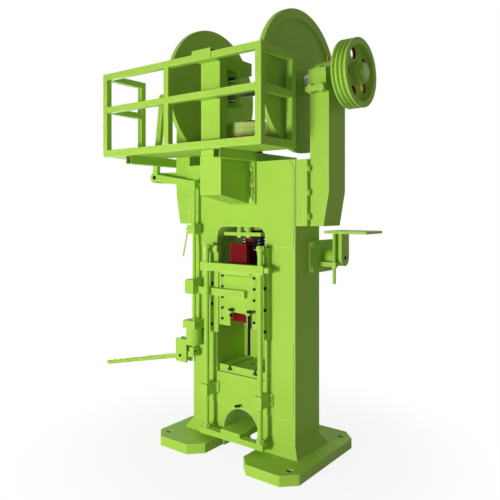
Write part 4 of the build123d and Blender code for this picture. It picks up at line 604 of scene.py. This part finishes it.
# %% Heads on the bearings
BEARING_X = 537.5
FOOT_TOP_Z = 2205
SEAT_UNDER_Z = 2175
CAP_TOP_Z = 2309
FOOT_BOLT_X = 37
FOOT_BOLT_Y = (-140, 140)
bearing_heads = []
for centre in (-BEARING_X, BEARING_X):
    foot_x = (centre - FOOT_BOLT_X, centre + FOOT_BOLT_X)
    bearing_heads += heads(foot_x, FOOT_BOLT_Y, [FOOT_TOP_Z], UP, size=16)
    bearing_heads += heads(foot_x, FOOT_BOLT_Y, [SEAT_UNDER_Z], DOWN, size=16, washer=False)
    bearing_heads += heads([centre], (-109, 109), [CAP_TOP_Z], UP, size=16)
bearing_piece = make_piece("bearing_bolt_heads", bearing_heads, "frame", green_sheet)
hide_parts("bearing_bolts")

# %% Screws of the ram's front plate
RAM_PLATE_Y = -166
RAM_SCREW_Z = (815, 882.5, 950, 1017.5, 1085)
ram_heads = heads((-125, 125), [RAM_PLATE_Y], RAM_SCREW_Z, FRONT, size=11, washer=False)
ram_piece = make_piece("ram_plate_heads", ram_heads, "ram", black_steel)
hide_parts("ram_plate_bolts")

# %% Heads on the ejector guides, the brackets and the housing cap
GUIDE_X = 210
GUIDE_FACE_Y = -158
GUIDE_BOLT_X = 34
MOTOR_BRACKET_X = 420
FULCRUM_PLATE_X = -612
HOUSING_CAP_Z = 785
small_heads = []
for centre in (-GUIDE_X, GUIDE_X):
    guide_x = (centre - GUIDE_BOLT_X, centre + GUIDE_BOLT_X)
    small_heads += heads(guide_x, [GUIDE_FACE_Y], (347, 383), FRONT, size=7)
small_heads += heads([MOTOR_BRACKET_X], (18, 95), (1140, 1290), RIGHT, size=16)
small_heads += heads([FULCRUM_PLATE_X], (-22, 40), (1686, 1764), LEFT, size=12)
small_heads += heads((-378, -302), (-238, -162), [HOUSING_CAP_Z], UP, size=9)
make_piece("bracket_bolt_heads", small_heads, "frame", green_sheet)

# %% Ring of heads on the screw retainer
RETAINER_TOP_Z = 1120
RETAINER_CIRCLE = 90
RETAINER_BOLTS = 6
ring_places = [(RETAINER_CIRCLE * math.cos(a), RETAINER_CIRCLE * math.sin(a), RETAINER_TOP_Z)
               for a in full_turn(RETAINER_BOLTS)]
ring_heads = [hex_head(place, UP, size=12) for place in ring_places]
make_piece("retainer_bolt_heads", ring_heads, "ram", red_enamel)

# %% [markdown]
# ## Eye bolt over the arch
# A small blackened eye bolt stands out of the body above the arch between its feet. The tube
# that made the springs makes it too: its ring is a circle carried round a larger one, closed
# both ways, and its shank is a straight tube that goes a few millimetres into the casting.

# %% Eye bolt
EYE_SIDES = 12
EYE_STEPS = 48
EYE_SUNK = 4


def eye_bolt(x, y, z, ring, wire, shank):
    """A ring of round wire, closed on itself, on a straight shank that goes into the casting."""
    turn = full_turn(EYE_STEPS)
    out = np.stack([np.cos(turn), np.sin(turn), 0 * turn], axis=1)
    path = (np.array([x, y - shank - ring, z]) + ring * out) * MM
    loop, _ = tube(path, np.zeros_like(out) + UP, out, wire * MM, EYE_SIDES)
    straight = np.array([[x, y + EYE_SUNK, z], [x, y - shank, z]]) * MM
    along = np.zeros_like(straight)
    return [(loop, grid_faces(len(path), EYE_SIDES, True, True)),
            tube(straight, along + RIGHT, along + UP, wire * MM, EYE_SIDES)]


eye_parts = eye_bolt(0, -144, 285, ring=15, wire=4.5, shank=18)
make_piece("eye_bolt", eye_parts, "frame", black_steel)

# %% [markdown]
# ## Primer in the pulley's holes
# The spray gun hardly reaches into the five holes of the pulley's web, so matt red lead primer
# shows there. The pulley is one solid with one finish, so a thin sleeve in each hole carries
# the primer: a small rectangle turned round the hole.

# %% Primer sleeves
# Its pale edge colour, as on every enamel, is partly rubbed wear and partly a painted highlight.
red_lead = enamel("red lead primer on cast iron", "#8C3A22", "#6A2818", "#A85A38",
                  wave_mm=40, wave_depth_mm=0.5, roughness=0.55)
PULLEY_AXIS_Z = 2275
HOLE_CIRCLE = 114
HOLES = 5
SLEEVE_SIDES = 40
# The sleeve's cross-section, as (x, radius about the hole's own axis).
SLEEVE = np.array([(699, 33.9), (720, 33.9), (720, 33.2), (699, 33.2)])


def primer_sleeve(hole):
    """The section turned about one hole's axis; the hole's angle is its place on the circle."""
    turn = full_turn(SLEEVE_SIDES)
    y = HOLE_CIRCLE * math.cos(hole) + SLEEVE[:, 1:] * np.cos(turn)
    z = PULLEY_AXIS_Z + HOLE_CIRCLE * math.sin(hole) + SLEEVE[:, 1:] * np.sin(turn)
    points = np.stack([SLEEVE[:, :1] + 0 * y, y, z], axis=2) * MM
    return points, grid_faces(len(SLEEVE), len(turn), True, True)


sleeves = [primer_sleeve(math.pi + hole) for hole in full_turn(HOLES)]
make_piece("pulley_hole_primer", sleeves, "drive_shaft", red_lead)

# %% [markdown]
# ## Camera
# The photograph was taken level, from a standing eye height, a little to the right of the
# press. The numbers come from its vanishing points; the small shift puts the horizon above
# the middle of the picture, as there.

# %% Camera
CAMERA_PLACE = (2.184, -2.933, 1.5)
CAMERA_TURN = math.radians(37.1)
LEVEL = math.radians(90)
camera_data = bpy.data.cameras.new("camera")
camera_data.sensor_width = 36
camera_data.lens = 40.9
camera_data.shift_y = -0.08
camera = bpy.data.objects.new("camera", camera_data)
camera.location = CAMERA_PLACE
camera.rotation_euler = (LEVEL, 0, CAMERA_TURN)
bpy.context.scene.collection.objects.link(camera)
bpy.context.scene.camera = camera
print("camera at", CAMERA_PLACE, "lens", camera_data.lens)

# %% [markdown]
# ## Floor
# A pale studio floor keeps the shadow. A white backdrop could be made by more light, but that
# would bleach the paint. Instead the floor glows plain white, but only to the camera, a
# mirror or glass, and a little less near the press, so that the shadow stays.

# %% Floor
WHITE = linear("#FFFFFF")
FLOOR_HALF = 30
SHADOW_FROM, SHADOW_TO = 0.6, 1.6
SHADOW_WHITE = 0.88


def seen_directly(owner):
    """1 for a ray from the camera, a mirror or glass, else 0: the largest of the three flags."""
    rays = node(owner, "ShaderNodeLightPath")
    mirrored = node(owner, "ShaderNodeMath", {
        0: rays.outputs["Is Glossy Ray"], 1: rays.outputs["Is Transmission Ray"]},
        operation="MAXIMUM")
    return node(owner, "ShaderNodeMath", {
        0: rays.outputs["Is Camera Ray"], 1: mirrored.outputs[0]}, operation="MAXIMUM").outputs[0]


floor_corners = np.array([(-1, -1, 0), (1, -1, 0), (1, 1, 0), (-1, 1, 0)]) * FLOOR_HALF
floor_mesh = bpy.data.meshes.new("studio floor")
floor_mesh.from_pydata(floor_corners.tolist(), [], [(0, 1, 2, 3)])
floor = bpy.data.objects.new("studio_floor", floor_mesh)
bpy.context.scene.collection.objects.link(floor)
floor_paint, floor_shader = new_material("matt white studio floor")
floor_shader.inputs["Base Color"].default_value = linear("#F4F4F2")
floor_shader.inputs["Roughness"].default_value = 0.9
floor_place = node(floor_paint, "ShaderNodeTexCoord").outputs["Object"]
floor_reach = node(floor_paint, "ShaderNodeVectorMath", {0: floor_place}, operation="LENGTH")
floor_fade = node(floor_paint, "ShaderNodeMapRange", {
    "Value": floor_reach.outputs["Value"], "From Min": SHADOW_FROM, "From Max": SHADOW_TO,
    "To Min": SHADOW_WHITE}, interpolation_type="SMOOTHSTEP")
floor_share = node(floor_paint, "ShaderNodeMath", {
    0: floor_fade.outputs["Result"], 1: seen_directly(floor_paint)}, operation="MULTIPLY")
backdrop_white = node(floor_paint, "ShaderNodeEmission", {"Color": WHITE, "Strength": 1.0})
floor_mix = node(floor_paint, "ShaderNodeMixShader", {
    0: floor_share.outputs[0], 1: floor_shader.outputs[0], 2: backdrop_white.outputs[0]})
floor_output = floor_paint.node_tree.nodes["Material Output"]
link(floor_paint, floor_mix.outputs[0], floor_output.inputs["Surface"])
floor_mesh.materials.append(floor_paint)
print("floor", 2 * FLOOR_HALF, "m wide")

# %% [markdown]
# ## Light
# A lamp low in front of the press makes its front bright, leaves the sides and the tops in
# shade, and throws each rod's shadow straight behind it, as in the photograph. A lamp behind
# does the same for whoever walks round it. The world is white to the camera and only a fill
# light to the object.

# %% Lamps


def area_lamp(name, place, aim, size, power):
    """A square soft lamp that faces a point: tilted up from straight down, then turned to it."""
    data = bpy.data.lights.new(name, "AREA")
    data.size = size
    data.energy = power
    lamp = bpy.data.objects.new(name, data)
    lamp.location = place
    x, y, z = np.array(aim) - np.array(place)
    lamp.rotation_euler = (math.atan2(math.hypot(x, y), -z), 0, math.atan2(-x, y))
    bpy.context.scene.collection.objects.link(lamp)
    print(name, power, "W")


area_lamp("key lamp", place=(-0.3, -4.6, 0.9), aim=(0, 0, 1.0), size=0.7, power=150)
area_lamp("top lamp", place=(0.5, -0.5, 6.0), aim=(0, 0, 1.3), size=4.0, power=20)
area_lamp("back lamp", place=(-6.8, 3.2, 0.7), aim=(0, 0, 1.2), size=0.8, power=300)

# %% World
FILL_LIGHT = 0.16
world = bpy.data.worlds.new("white studio")
bpy.context.scene.world = world
world.use_nodes = True
background = world.node_tree.nodes["Background"]
background.inputs["Color"].default_value = WHITE
level = node(world, "ShaderNodeMapRange", {
    "Value": seen_directly(world), "To Min": FILL_LIGHT, "To Max": 1.0})
link(world, level.outputs["Result"], background.inputs["Strength"])
bpy.context.scene.view_settings.view_transform = "Standard"
print("world fill", FILL_LIGHT)
